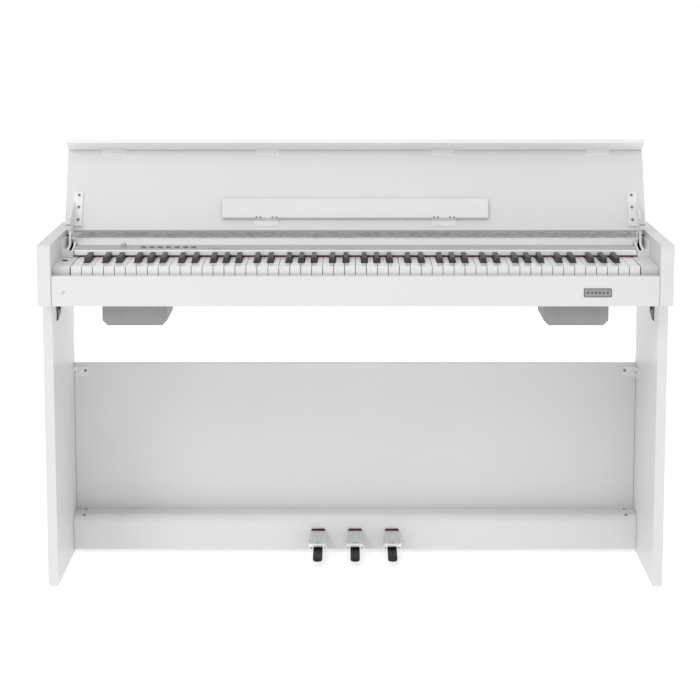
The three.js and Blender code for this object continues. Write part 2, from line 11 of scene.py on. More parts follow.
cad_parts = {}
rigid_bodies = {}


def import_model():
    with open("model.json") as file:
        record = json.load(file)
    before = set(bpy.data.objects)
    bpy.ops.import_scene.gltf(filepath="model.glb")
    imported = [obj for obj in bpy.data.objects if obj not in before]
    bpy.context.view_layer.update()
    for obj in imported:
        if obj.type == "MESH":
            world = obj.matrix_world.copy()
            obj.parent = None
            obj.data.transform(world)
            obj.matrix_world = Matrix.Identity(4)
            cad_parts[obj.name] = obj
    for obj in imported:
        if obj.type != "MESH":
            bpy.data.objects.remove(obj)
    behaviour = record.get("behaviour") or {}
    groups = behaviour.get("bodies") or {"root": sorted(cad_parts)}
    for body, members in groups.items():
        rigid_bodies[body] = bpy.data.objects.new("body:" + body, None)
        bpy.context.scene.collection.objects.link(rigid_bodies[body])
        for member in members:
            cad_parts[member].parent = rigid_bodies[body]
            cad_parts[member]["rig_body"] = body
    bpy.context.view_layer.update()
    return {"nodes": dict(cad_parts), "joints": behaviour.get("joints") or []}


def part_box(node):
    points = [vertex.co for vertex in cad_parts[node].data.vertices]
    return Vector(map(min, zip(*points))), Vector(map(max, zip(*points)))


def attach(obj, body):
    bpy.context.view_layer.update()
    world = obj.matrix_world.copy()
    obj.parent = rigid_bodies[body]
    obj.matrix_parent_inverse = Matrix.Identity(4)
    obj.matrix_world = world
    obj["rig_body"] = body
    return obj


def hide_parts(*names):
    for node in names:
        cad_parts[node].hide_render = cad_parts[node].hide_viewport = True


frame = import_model()
NODES = frame["nodes"]
JOINTS = {joint["name"]: joint for joint in frame["joints"]}
MM = 0.001
SIDES = ((-1, "left"), (1, "right"))
rng = random.Random(11)


# ---- materials


class Look:
    """A Principled material, with short names for the nodes that its colour, roughness and bump come from."""

    def __init__(self, name, metallic=0.0, specular=0.5):
        self.material = bpy.data.materials.new(name)
        self.material.use_nodes = True
        self.tree = self.material.node_tree
        self.shader = self.tree.nodes["Principled BSDF"]
        self.shader.inputs["Metallic"].default_value = metallic
        self.shader.inputs["Specular IOR Level"].default_value = specular
        self.place = self.tree.nodes.new("ShaderNodeTexCoord").outputs["Object"]
        self.normal = None

    def put(self, socket, value):
        if isinstance(value, bpy.types.NodeSocket):
            self.tree.links.new(value, socket)
        else:
            socket.default_value = value

    def stretched(self, scale):
        mapping = self.tree.nodes.new("ShaderNodeMapping")
        mapping.inputs["Scale"].default_value = scale
        self.put(mapping.inputs["Vector"], self.place)
        return mapping.outputs["Vector"]

    def noise(self, scale, detail=2.0, stretch=None, distortion=0.0):
        node = self.tree.nodes.new("ShaderNodeTexNoise")
        node.inputs["Scale"].default_value = scale
        node.inputs["Detail"].default_value = detail
        node.inputs["Distortion"].default_value = distortion
        self.put(node.inputs["Vector"], self.stretched(stretch) if stretch else self.place)
        return node.outputs["Fac"]

    def cells(self, scale):
        node = self.tree.nodes.new("ShaderNodeTexVoronoi")
        node.inputs["Scale"].default_value = scale
        self.put(node.inputs["Vector"], self.place)
        return node.outputs["Distance"]

    def attribute(self, name):
        node = self.tree.nodes.new("ShaderNodeAttribute")
        node.attribute_name = name
        return node.outputs["Fac"]

    def math(self, operation, a, b=0.0):
        node = self.tree.nodes.new("ShaderNodeMath")
        node.operation = operation
        self.put(node.inputs[0], a)
        self.put(node.inputs[1], b)
        return node.outputs["Value"]

    def span(self, value, low, high, to_low, to_high):
        """value from low..high moved to to_low..to_high, and held inside it."""
        node = self.tree.nodes.new("ShaderNodeMapRange")
        for socket, number in zip(node.inputs[1:5], (low, high, to_low, to_high)):
            socket.default_value = number
        self.put(node.inputs["Value"], value)
        return node.outputs["Result"]

    def mottle(self, scale, detail, to_low, to_high):
        """Noise spread over to_low..to_high."""
        return self.span(self.noise(scale, detail), 0.3, 0.7, to_low, to_high)

    def mix(self, share, a, b):
        node = self.tree.nodes.new("ShaderNodeMix")
        node.data_type = "RGBA"
        colors = [s for s in node.inputs if s.type == "RGBA"]
        self.put(node.inputs["Factor"], share)
        for socket, value in zip(colors, (a, b)):
            self.put(socket, value if isinstance(value, bpy.types.NodeSocket) else (*value, 1.0))
        return next(s for s in node.outputs if s.type == "RGBA")

    def bump(self, height, strength, distance):
        node = self.tree.nodes.new("ShaderNodeBump")
        node.inputs["Strength"].default_value = strength
        node.inputs["Distance"].default_value = distance
        self.put(node.inputs["Height"], height)
        if self.normal:
            self.put(node.inputs["Normal"], self.normal)
        self.normal = node.outputs["Normal"]

    def finish(self, color, roughness):
        self.put(self.shader.inputs["Base Color"], color)
        self.put(self.shader.inputs["Roughness"], roughness)
        if self.normal:
            self.put(self.shader.inputs["Normal"], self.normal)
        return self.material


def edge_wear_and_highlight(look, color, wear_and_highlight_color, amount):
    """Mixes in the given edge colour along the rounded edges, in patches: wear, and on the black keys also a
    painted highlight.
    """
    patches = look.span(look.noise(38.0, 3.0), 0.42, 0.68, 0.15, 1.0)
    share = look.math("MULTIPLY", look.math("MULTIPLY", look.attribute("edge"), patches), amount)
    return look.mix(share, color, wear_and_highlight_color)


def foil_look(name, light, dark, grain=0.05):
    """White satin foil pressed on board: slow tone drift, fine pebble, faint wear at the edges."""
    look = Look(name, specular=0.4)
    drift = look.mottle(2.6, 3.0, 0.0, 1.0)
    fleck = look.mottle(620.0, 2.0, 0.0, 0.35)
    color = look.mix(look.math("ADD", look.math("MULTIPLY", drift, 0.65), fleck), light, dark)
    color = edge_wear_and_highlight(look, color, (0.66, 0.655, 0.635), 0.3)
    rubbed = look.mottle(9.0, 5.0, 0.36, 0.46)
    rough = look.math("ADD", rubbed, look.mottle(240.0, 2.0, -0.03, 0.03))
    look.bump(look.noise(900.0, 2.0), grain, 0.0002)
    look.bump(look.noise(30.0, 1.0), 0.02, 0.001)
    return look.finish(color, rough)


def moulded_look(name, light, dark, rough_low, rough_high, grain=0.12, edge=None, specular=0.5):
    """Moulded plastic with a fine spark-eroded grain."""
    look = Look(name, specular=specular)
    drift = look.mottle(14.0, 4.0, 0.0, 1.0)
    color = look.mix(drift, light, dark)
    if edge:
        color = edge_wear_and_highlight(look, color, edge, 0.6)
    rough = look.mottle(60.0, 4.0, rough_low, rough_high)
    look.bump(look.cells(1500.0), grain, 0.00015)
    return look.finish(color, rough)


def metal_look(name, light, dark, rough_low, rough_high, stretch, edge, metallic=1.0):
    """Metal with fine parallel scratches, long where the stretch is small."""
    look = Look(name, metallic=metallic)
    lines = look.noise(900.0, 3.0, stretch=stretch)
    color = look.mix(look.span(lines, 0.3, 0.7, 0.0, 1.0), light, dark)
    color = edge_wear_and_highlight(look, color, edge, 0.5)
    smear = look.mottle(25.0, 4.0, rough_low, rough_high)
    look.bump(lines, 0.08, 0.0001)
    return look.finish(color, smear)


def key_white_look():
    """Glossy key plastic: each key a little warmer or cooler, with soft finger haze."""
    look = Look("key_white")
    tone = look.attribute("tone")
    color = look.mix(tone, (0.865, 0.875, 0.885), (0.89, 0.872, 0.862))
    haze = look.span(look.noise(45.0, 4.0, stretch=(1.0, 0.35, 1.0)), 0.35, 0.75, 0.0, 0.35)
    color = look.mix(haze, color, (0.83, 0.832, 0.83))
    color = edge_wear_and_highlight(look, color, (0.74, 0.73, 0.70), 0.3)
    rough = look.mottle(70.0, 5.0, 0.16, 0.3)
    look.bump(look.noise(1300.0, 1.0, stretch=(1.0, 0.15, 1.0)), 0.03, 0.0001)
    look.shader.inputs["Coat Weight"].default_value = 0.25
    look.shader.inputs["Coat Roughness"].default_value = 0.12
    return look.finish(color, rough)


def key_black_look():
    """Matte black keys with a fine grain along their length, and rounded edges lighter in patches, partly
    wear where fingers slide and partly a painted highlight.
    """
    look = Look("key_black", specular=0.55)
    grain = look.noise(1100.0, 4.0, stretch=(1.0, 0.05, 0.6), distortion=0.3)
    streak = look.span(grain, 0.32, 0.68, 0.0, 1.0)
    color = look.mix(streak, (0.018, 0.018, 0.019), (0.04, 0.04, 0.041))
    # The rounded edges are lighter in patches: partly wear, partly a painted highlight.
    color = edge_wear_and_highlight(look, color, (0.11, 0.11, 0.11), 0.7)
    rough = look.mottle(55.0, 4.0, 0.34, 0.52)
    look.bump(grain, 0.18, 0.0002)
    return look.finish(color, rough)


def lever_look():
    """Black pedal lever: satin plastic with faint streaks along it, partly grain and partly a painted
    highlight, and a polished nose.
    """
    look = Look("lever_black", specular=0.2)
    grain = look.noise(700.0, 3.0, stretch=(1.0, 0.06, 1.0))
    # The lighter streaks are partly grain and partly a painted highlight.
    color = look.mix(look.span(grain, 0.3, 0.7, 0.0, 1.0), (0.010, 0.010, 0.011), (0.022, 0.022, 0.023))
    color = edge_wear_and_highlight(look, color, (0.05, 0.05, 0.05), 0.5)
    look.bump(grain, 0.2, 0.0002)
    return look.finish(color, look.mottle(40.0, 4.0, 0.42, 0.6))


def silver_paint_look(name, light, dark, metallic=0.25, blotch=0.0):
    """Silver paint: metal flake that sparkles at a fine scale, over a slow drift or long blotches."""
    look = Look(name, metallic=metallic)
    flake = look.mottle(2600.0, 1.0, 0.0, 1.0)
    drift = look.mottle(5.0, 3.0, 0.0, 1.0)
    share = look.math("ADD", look.math("MULTIPLY", flake, 0.6), look.math("MULTIPLY", drift, 0.4))
    color = edge_wear_and_highlight(look, look.mix(share, light, dark), (0.72, 0.72, 0.72), 0.4)
    if blotch:
        cloudy = look.span(look.noise(75.0, 4.0, stretch=(1.0, 4.0, 4.0)), 0.4, 0.62, 0.0, blotch)
        color = look.mix(cloudy, color, tuple(0.45 * channel for channel in dark))
    look.bump(look.cells(1800.0), 0.08, 0.0001)
    return look.finish(color, look.mottle(30.0, 4.0, 0.32, 0.44))


def felt_look():
    """Pressed red felt: matted fibres and a soft sheen."""
    look = Look("felt_red", specular=0.1)
    fibre = look.noise(800.0, 6.0, stretch=(0.4, 1.0, 1.0), distortion=1.2)
    color = look.mix(look.span(fibre, 0.3, 0.7, 0.0, 1.0), (0.22, 0.012, 0.022), (0.085, 0.004, 0.009))
    look.bump(fibre, 0.9, 0.0006)
    look.shader.inputs["Sheen Weight"].default_value = 0.35
    look.shader.inputs["Sheen Roughness"].default_value = 0.5
    return look.finish(color, look.mottle(500.0, 2.0, 0.85, 1.0))


def rubber_look():
    look = Look("rubber_black", specular=0.3)
    dust = look.span(look.noise(300.0, 4.0), 0.45, 0.75, 0.0, 1.0)
    color = look.mix(dust, (0.018, 0.018, 0.019), (0.04, 0.039, 0.037))
    look.bump(look.cells(2200.0), 0.3, 0.0002)
    return look.finish(color, look.span(dust, 0.0, 1.0, 0.6, 0.8))


def board_look():
    """Circuit board: green mask with copper runs showing through."""
    look = Look("circuit_green")
    runs = look.span(look.cells(260.0), 0.28, 0.34, 1.0, 0.0)
    color = look.mix(runs, (0.012, 0.08, 0.03), (0.03, 0.17, 0.06))
    look.bump(runs, 0.2, 0.0002)
    return look.finish(color, look.mottle(80.0, 2.0, 0.3, 0.45))


def floor_look():
    look = Look("floor_pale", specular=0.2)
    color = look.mix(look.noise(1.5, 2.0), (0.66, 0.66, 0.66), (0.64, 0.64, 0.64))
    look.shader.inputs["Emission Color"].default_value = (1.0, 1.0, 1.0, 1.0)
    look.shader.inputs["Emission Strength"].default_value = 0.62
    return look.finish(color, look.mottle(3.0, 2.0, 0.8, 0.95))


EVEN = (1.0, 1.0, 1.0)
ALONG_X = (0.05, 1.0, 1.0)


def grey(value):
    return (value, value, value)


FOIL = foil_look("cabinet_foil", (0.715, 0.72, 0.716), (0.68, 0.685, 0.68))
# The rest and the flap take lighter copies of the lid's foil: painted light, so they read brighter than the
# lid.
REST_FOIL_PAINTED_LIGHT = foil_look("rest_foil_painted_light", (0.76, 0.765, 0.76), (0.725, 0.73, 0.725))
FLAP_FOIL_PAINTED_LIGHT = foil_look("flap_foil_painted_light", (0.82, 0.825, 0.82), (0.785, 0.79, 0.785))
WHITE_MOULDING = moulded_look(
    "white_moulding", (0.84, 0.845, 0.84), (0.80, 0.805, 0.80), 0.32, 0.44, edge=(0.7, 0.69, 0.67)
)
POWDER_WHITE = moulded_look(
    "powder_white", (0.80, 0.805, 0.80), (0.75, 0.755, 0.75), 0.38, 0.5, grain=0.3, edge=grey(0.5)
)
# The panel's silver comes in two copies, used by face direction: the top faces painted darker as shade, the
# front and other faces painted near-white as a highlight.
PANEL_TOP_PAINTED_SHADE = silver_paint_look("panel_silver", (0.50, 0.505, 0.51), (0.42, 0.425, 0.43))
GRILLE_PAINT = silver_paint_look("grille_silver", (0.95, 0.955, 0.96), (0.84, 0.845, 0.85), blotch=0.6)
TRIM_PAINTED_HIGHLIGHT = silver_paint_look("trim_painted_highlight", (0.97, 0.975, 0.98), (0.94, 0.945, 0.95), metallic=0.1)
HOOD_SILVER = metal_look(
    "hood_silver", (0.76, 0.775, 0.78), (0.62, 0.64, 0.645), 0.3, 0.45, (1.0, 0.04, 0.04), (0.85, 0.85, 0.86)
)
# A lighter, less metallic copy of the hood's metal for the lip: polished, and painted near-white as a
# highlight.
LIP_PAINTED_HIGHLIGHT = metal_look(
    "lip_painted_highlight", (0.93, 0.935, 0.94), (0.86, 0.865, 0.87), 0.16, 0.3, (1.0, 0.3, 0.3), grey(0.9), 0.6
)
ZINC = metal_look(
    "zinc_plate", (0.62, 0.625, 0.63), (0.46, 0.465, 0.47), 0.28, 0.45, ALONG_X, grey(0.7)
)
SCREW_STEEL = metal_look(
    "screw_steel", (0.34, 0.34, 0.345), (0.22, 0.22, 0.225), 0.3, 0.5, EVEN, grey(0.5)
)
KEY_WHITE = key_white_look()
KEY_BLACK = key_black_look()
LEVER_BLACK = lever_look()
FELT_RED = felt_look()
RUBBER = rubber_look()
GREY_MOULDING = moulded_look(
    "grey_moulding", (0.30, 0.302, 0.305), (0.25, 0.252, 0.255), 0.5, 0.65, grain=0.3, edge=grey(0.36)
)
KNOB_METAL = metal_look(
    "knob_metal", (0.80, 0.805, 0.81), (0.66, 0.665, 0.67), 0.22, 0.34, (1.0, 1.0, 0.1), grey(0.85)
)
# Dark grey for the printed marks, and on the buttons as painted shade.
PRINT_GREY_AND_BUTTON_SHADE = moulded_look(
    "print_grey_and_button_shade", (0.22, 0.222, 0.225), (0.17, 0.172, 0.175), 0.4, 0.5, edge=grey(0.4)
)
BLACK_MOULDING = moulded_look(
    "black_moulding", (0.014, 0.014, 0.015), (0.024, 0.024, 0.025), 0.38, 0.55,
    grain=0.25, edge=grey(0.06),
)
BLACK_STEEL = metal_look(
    "black_steel", (0.02, 0.02, 0.021), (0.035, 0.035, 0.036), 0.4, 0.55,
    EVEN, grey(0.15), 0.3,
)
# Dark cloth behind the grille; on the liner slot walls the same black is painted shade.
DARK_CLOTH_AND_SLOT_SHADE = rubber_look()
DARK_CLOTH_AND_SLOT_SHADE.name = "dark_cloth_and_slot_shade"
BADGE_GREY = metal_look(
    "badge_grey", (0.13, 0.132, 0.135), (0.09, 0.092, 0.095), 0.35, 0.5,
    ALONG_X, grey(0.3), 0.4,
)
BADGE_LINE = metal_look(
    "badge_line", (0.42, 0.422, 0.425), (0.34, 0.342, 0.345), 0.35, 0.5,
    ALONG_X, grey(0.5), 0.3,
)
BADGE_LIGHT = metal_look(
    "badge_field", (0.32, 0.322, 0.325), (0.26, 0.262, 0.265), 0.4, 0.55,
    ALONG_X, grey(0.4), 0.2,
)
CIRCUIT = board_look()


# ---- mesh tools


def layers(bm):
    for name in ("edge", "tone"):
        if name not in bm.verts.layers.float:
            bm.verts.layers.float.new(name)


def new_bm():
    bm = bmesh.new()
    layers(bm)
    return bm


def place_of(axis):
    return {
        "x": lambda u, v, t: (t, u, v),
        "y": lambda u, v, t: (u, t, v),
        "z": lambda u, v, t: (u, v, t),
    }[axis]


def prism(bm, outline, axis, low, high):
    """A closed solid: a flat outline run along an axis. The outline is (y, z), (x, z) or (x, y)."""
    place = place_of(axis)
    rings = [[bm.verts.new(place(u, v, t)) for u, v in outline] for t in (low, high)]
    made = [bm.faces.new(rings[0]), bm.faces.new(rings[1])]
    for i in range(len(outline)):
        j = (i + 1) % len(outline)
        made.append(bm.faces.new((rings[0][i], rings[0][j], rings[1][j], rings[1][i])))
    bmesh.ops.recalc_face_normals(bm, faces=made)
    return rings[0] + rings[1]


def slab(bm, low, high):
    """A rectangular block between two corners, softened later with the rest of its piece."""
    outline = [(low[0], low[1]), (high[0], low[1]), (high[0], high[1]), (low[0], high[1])]
    return prism(bm, outline, "z", low[2], high[2])


def rounded(cx, cy, half_x, half_y, radius, steps=5):
    """Points of a rectangle with round corners."""
    points = []
    for n, (sx, sy) in enumerate(((1, 1), (-1, 1), (-1, -1), (1, -1))):
        for k in range(steps + 1):
            angle = math.radians(90 * n + 90 * k / steps)
            points.append((
                cx + sx * (half_x - radius) + radius * math.cos(angle),
                cy + sy * (half_y - radius) + radius * math.sin(angle),
            ))
    return points


def around(radius, angle, height):
    return Vector((radius * math.cos(angle), radius * math.sin(angle), height))


def turned(bm, rings, matrix, steps=28):
    """A solid of revolution about local Z. Each ring is (radius, height), and the ends close on the axis."""
    loops, made = [], []
    for radius, height in rings:
        if radius < 1e-7:
            loops.append([bm.verts.new(matrix @ Vector((0, 0, height)))])
            continue
        points = [around(radius, 2 * math.pi * k / steps, height) for k in range(steps)]
        loops.append([bm.verts.new(matrix @ point) for point in points])
    for a, b in zip(loops, loops[1:]):
        for k in range(steps):
            j = (k + 1) % steps
            corners = [a[0]] if len(a) == 1 else [a[k], a[j]]
            corners += [b[0]] if len(b) == 1 else [b[j], b[k]]
            made.append(bm.faces.new(corners))
    bmesh.ops.recalc_face_normals(bm, faces=made)


def join_loops(bm, loops):
    """Quads between neighbouring loops, with the last joined back to the first."""
    for a, b in zip(loops, loops[1:] + loops[:1]):
        for k in range(len(a)):
            j = (k + 1) % len(a)
            bm.faces.new((a[k], a[j], b[j], b[k]))


def in_mm(points):
    return [(u * MM, v * MM) for u, v in points]


def disc(radius, low, high):
    """The rings of a plain closed cylinder."""
    return [(0, low), (radius, low), (radius, high), (0, high)]


def to_side(bm, side):
    """Leaves a right-hand shape as it is, or mirrors it to the left when side is -1."""
    bmesh.ops.transform(bm, matrix=Matrix.Scale(side, 4, (1, 0, 0)), verts=bm.verts)
    if side < 0:
        bmesh.ops.reverse_faces(bm, faces=bm.faces)


def soften(bm, width, segments=3, least=25.0):
    """Rounds every edge sharper than least degrees, and marks the rounded part in the edge attribute."""
    sharp = [
        e for e in bm.edges
        if len(e.link_faces) == 2 and e.calc_face_angle(0.0) > math.radians(least)
    ]
    made = bmesh.ops.bevel(
        bm, geom=sharp, offset=width, offset_type="OFFSET", segments=segments,
        profile=0.5, affect="EDGES", clamp_overlap=True,
    )
    round_faces = set(made["faces"])
    layer = bm.verts.layers.float["edge"]
    for vert in bm.verts:
        if vert.link_faces and all(f in round_faces for f in vert.link_faces):
            vert[layer] = 1.0


def stamp(bm, source, matrix=Matrix.Identity(4), tone=None):
    """Adds a copy of a mesh, moved by a matrix."""
    known = len(bm.verts)
    bm.from_mesh(source)
    bm.verts.ensure_lookup_table()
    fresh = bm.verts[known:]
    bmesh.ops.transform(bm, matrix=matrix, verts=fresh)
    if tone is not None:
        layer = bm.verts.layers.float["tone"]
        for vert in fresh:
            vert[layer] = tone


def mesh_of(name, bm):
    mesh = bpy.data.meshes.new(name)
    bm.to_mesh(mesh)
    bm.free()
    return mesh


def add_piece(name, bm, looks, body, replaces=(), smooth=True):
    """Turns a bmesh into a piece that rides on a body."""
    mesh = mesh_of(name, bm)
    for look in looks if isinstance(looks, (list, tuple)) else [looks]:
        mesh.materials.append(look)
    mesh.polygons.foreach_set("use_smooth", [smooth] * len(mesh.polygons))
    piece = bpy.data.objects.new(name, mesh)
    bpy.context.scene.collection.objects.link(piece)
    if smooth:
        mesh.set_sharp_from_angle(angle=math.radians(42))
        weighted = piece.modifiers.new("even_normals", "WEIGHTED_NORMAL")
        weighted.keep_sharp = True
        weighted.weight = 80
    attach(piece, body)
    if replaces:
        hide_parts(*replaces)
    return piece


def cad_bm(node):
    """A clean copy of a CAD node's mesh, with its flat faces whole."""
    bm = new_bm()
    bm.from_mesh(NODES[node].data)
    bmesh.ops.remove_doubles(bm, verts=bm.verts, dist=2e-5)
    bmesh.ops.dissolve_limit(
        bm, angle_limit=math.radians(0.6), verts=bm.verts, edges=bm.edges, use_dissolve_boundaries=False
    )
    for face in bm.faces:
        face.material_index = 0
    return bm


def refine(node, width, look, segments=3, least=25.0):
    """Stands a copy with rounded edges in for a CAD node."""
    bm = cad_bm(node)
    soften(bm, width, segments, least)
    body = NODES[node]["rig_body"]
    return add_piece(f"{node}_shell", bm, look, body, [node])


# ---- screws


def cross_screw(radius, height):
    """A pan-head screw with a cross recess, as a mesh standing on z = 0."""
    bm = new_bm()
    dome = [(0.0, -0.0002), (radius, -0.0002), (radius, height * 0.35)]
    for k in range(1, 5):
        angle = math.radians(90 * k / 5)
        dome.append((radius * math.cos(angle), height * (0.35 + 0.65 * math.sin(angle))))
    dome.append((0.0, height))
    turned(bm, dome, Matrix.Identity(4), 24)
    head = bpy.data.objects.new("screw_head", mesh_of("screw_head", bm))
    cutter_bm = new_bm()
    arm, thin, deep = radius * 0.62, radius * 0.14, height * 0.55
    for half_x, half_y in ((arm, thin), (thin, arm)):
        slab(cutter_bm, (-half_x, -half_y, height - deep), (half_x, half_y, height + 0.001))
    cutter = bpy.data.objects.new("screw_cutter", mesh_of("screw_cutter", cutter_bm))
    for piece in (head, cutter):
        bpy.context.scene.collection.objects.link(piece)
    cut = head.modifiers.new("recess", "BOOLEAN")
    cut.object = cutter
    cut.operation = "DIFFERENCE"
    cut.use_self = True
    bpy.context.view_layer.update()
    shaped = bpy.data.meshes.new_from_object(head.evaluated_get(bpy.context.evaluated_depsgraph_get()))
    for piece in (head, cutter):
        bpy.data.objects.remove(piece)
    return shaped


SCREW = cross_screw(3.4 * MM, 1.7 * MM)
SMALL_SCREW = cross_screw(2.4 * MM, 0.9 * MM)


def along_x(point):
    """A matrix that lays a part's local +Z along X from a point."""
    return Matrix.Translation(point) @ Matrix.Rotation(math.radians(90), 4, "Y")


def facing(point, direction, spin=0.0):
    """A matrix that stands a part's local +Z along a direction at a point."""
    turn = Vector(direction).to_track_quat("Z", "Y").to_matrix().to_4x4()
    return Matrix.Translation(point) @ turn @ Matrix.Rotation(math.radians(spin), 4, "Z")


def add_screws(name, spots, body, source=SCREW, frame_matrix=Matrix.Identity(4), look=SCREW_STEEL):
    """Cross-head screws at (point, direction) spots, each turned a little differently."""
    bm = new_bm()
    for point, direction in spots:
        stamp(bm, source, frame_matrix @ facing(point, direction, rng.uniform(0, 90)))
    return add_piece(name, bm, look, body)


# ---- cabinet


BOARDS = [
    "end_block_left", "end_block_right", "side_panel_left", "side_panel_right", "key_bed",
    "front_rail", "rear_panel", "rear_deck", "kick_panel", "cheek_block_left", "cheek_block_right",
]
for node in BOARDS:
    refine(node, 1.1 * MM, FOIL)
refine("pedal_box", 1.2 * MM, FOIL, least=22.0)


BADGE_X, BADGE_Z = 0.5187, 0.6675
BADGE_MARK_WIDTHS = (2.3, 1.9, 2.2, 2.4, 1.8, 2.6)
BADGE_MARK_PITCH = 8.4 * MM
PILOT_X, PILOT_Z = -0.626, 0.668
BUMPER_X = -0.6362


def add_badge():
    """A dark plate on the rail: a thin outline, a paler field and plain raised marks, no lettering."""
    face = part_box("front_rail")[0].y
    half_x, half_z = 30 * MM, 9.3 * MM

    def outline(shrink):
        points = []
        for x, z in rounded(0, 0, half_x - shrink, half_z - shrink, 2.4 * MM - shrink * 0.5):
            swell = 0.9 * MM * (1 - (x / half_x) ** 2)
            points.append((BADGE_X + x, BADGE_Z + z + math.copysign(swell, z)))
        return points

    bm = new_bm()
    prism(bm, outline(0.0), "y", face - 0.9 * MM, face + 0.2 * MM)
    soften(bm, 0.25 * MM, 2)
    add_piece("badge_plate", bm, BADGE_GREY, "root")
    bm = new_bm()
    outer, inner = outline(1.9 * MM), outline(2.6 * MM)
    rows = [
        [bm.verts.new((x, face - depth, z)) for x, z in points]
        for points, depth in ((outer, 0.85 * MM), (outer, 1.15 * MM), (inner, 1.15 * MM), (inner, 0.85 * MM))
    ]
    join_loops(bm, rows)
    bmesh.ops.recalc_face_normals(bm, faces=bm.faces)
    add_piece("badge_outline", bm, BADGE_LINE, "root")
    bm = new_bm()
    prism(bm, inner, "y", face - 0.98 * MM, face - 0.8 * MM)
    add_piece("badge_field", bm, BADGE_LIGHT, "root")
    bm = new_bm()
    for n, width in enumerate(BADGE_MARK_WIDTHS):
        x = BADGE_X + (n - 2.5) * BADGE_MARK_PITCH
        prism(bm, rounded(x, BADGE_Z, width * MM, 2.6 * MM, 1.1 * MM), "y", face - 1.2 * MM, face - 0.9 * MM)
    soften(bm, 0.08 * MM, 2, 40.0)
    add_piece("badge_marks", bm, BADGE_GREY, "root")


def add_rail_details():
    add_badge()
    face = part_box("front_rail")[0].y
    bm = new_bm()
    spot = facing((PILOT_X, face, PILOT_Z), (0, -1, 0))
    bezel = [(0.0, -0.3), (2.9, -0.3), (2.9, 0.5), (2.5, 0.9), (2.1, 0.9), (1.9, 0.4), (0.0, 0.4)]
    turned(bm, in_mm(bezel), spot)
    add_piece("pilot_bezel", bm, GREY_MOULDING, "root")
    bm = new_bm()
    lens = [(0.0, 0.3), (1.85, 0.3), (1.8, 0.7), (1.3, 1.05), (0.7, 1.2), (0.0, 1.25)]
    turned(bm, in_mm(lens), spot)
    add_piece("pilot_lens", bm, WHITE_MOULDING, "root")
    cheek_lo, cheek_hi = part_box("cheek_block_left")
    bm = new_bm()
    pad = rounded(BUMPER_X, cheek_lo.y + 87 * MM, 6 * MM, 4 * MM, 1.5 * MM)
    prism(bm, pad, "z", cheek_hi.z - 0.2 * MM, cheek_hi.z + 2.2 * MM)
    soften(bm, 0.6 * MM, 3)
    add_piece("lid_bumper", bm, RUBBER, "root")


def add_bed_brackets():
    """Black steel angles that tie the side panels to the key bed, each with a bolt."""
    bed_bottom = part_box("key_bed")[0].z
    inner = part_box("side_panel_right")[0].x
    y0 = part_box("side_panel_right")[0].y
    plate = [
        (58, 0), (118, 0), (112, -12), (106, -26), (118, -36), (112, -41), (92, -46), (78, -51),
        (60, -51), (66, -38), (60, -26),
    ]
    flange = [(58, 0), (118, 0), (112, -28), (64, -28)]
    bolt_head = [(0, 0), (6, 0), (6, 2.2), (5, 3.4), (2.5, 3.4), (2.2, 2.2), (0, 2.2)]
    for side, word in SIDES:
        bm = new_bm()
        upright = [(y0 + u * MM, bed_bottom - 0.3 * MM + v * MM) for u, v in plate]
        prism(bm, upright, "x", inner - 2.4 * MM, inner - 0.1 * MM)
        level = [(inner + v * MM, y0 + u * MM) for u, v in flange]
        prism(bm, level, "z", bed_bottom - 2.6 * MM, bed_bottom - 0.2 * MM)
        soften(bm, 0.5 * MM, 2)
        bolt = facing((inner - 2.3 * MM, y0 + 86 * MM, bed_bottom - 26 * MM), (-1, 0, 0))
        turned(bm, in_mm(bolt_head), bolt, 24)
        for y in (70, 104):
            stamp(bm, SCREW, facing((inner - 14 * MM, y0 + y * MM, bed_bottom - 2.6 * MM), (0, 0, -1), 20))
        to_side(bm, side)
        add_piece(f"bed_bracket_{word}", bm, BLACK_STEEL, "root")


def add_kick_brackets():
    """White corner brackets at the top of the kick panel, screwed to it and to the side panels."""
    kick_lo, kick_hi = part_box("kick_panel")
    face = kick_lo.y
    top, low = kick_hi.z - 7 * MM, kick_hi.z - 31 * MM
    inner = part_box("side_panel_right")[0].x
    for side, word in SIDES:
        bm = new_bm()
        corners = ((0.2, 0), (0.2, 24), (30, 24), (33, 21), (33, 3), (30, 0))
        plate = [(inner - u * MM, low + v * MM) for u, v in corners]
        prism(bm, plate, "y", face - 2.2 * MM, face - 0.1 * MM)
        wing = [(face - u * MM, low + v * MM) for u, v in ((0.2, 0), (0.2, 24), (27, 24), (27, 9), (18, 0))]
        prism(bm, wing, "x", inner - 2.2 * MM, inner - 0.1 * MM)
        rib = [(face - u * MM, top - v * MM) for u, v in ((2, 10), (2, 14), (12, 14))]
        prism(bm, rib, "x", inner - 12 * MM, inner - 10 * MM)
        soften(bm, 0.5 * MM, 3)
        to_side(bm, side)
        add_piece(f"kick_bracket_{word}", bm, POWDER_WHITE, "root")
        spots = [
            ((side * (inner - 27 * MM), face - 2.2 * MM, top - 10 * MM), (0, -1, 0)),
            ((side * (inner - 2.2 * MM), face - 14 * MM, top - 13 * MM), (-side, 0, 0)),
        ]
        add_screws(f"kick_bracket_screws_{word}", spots, "root")


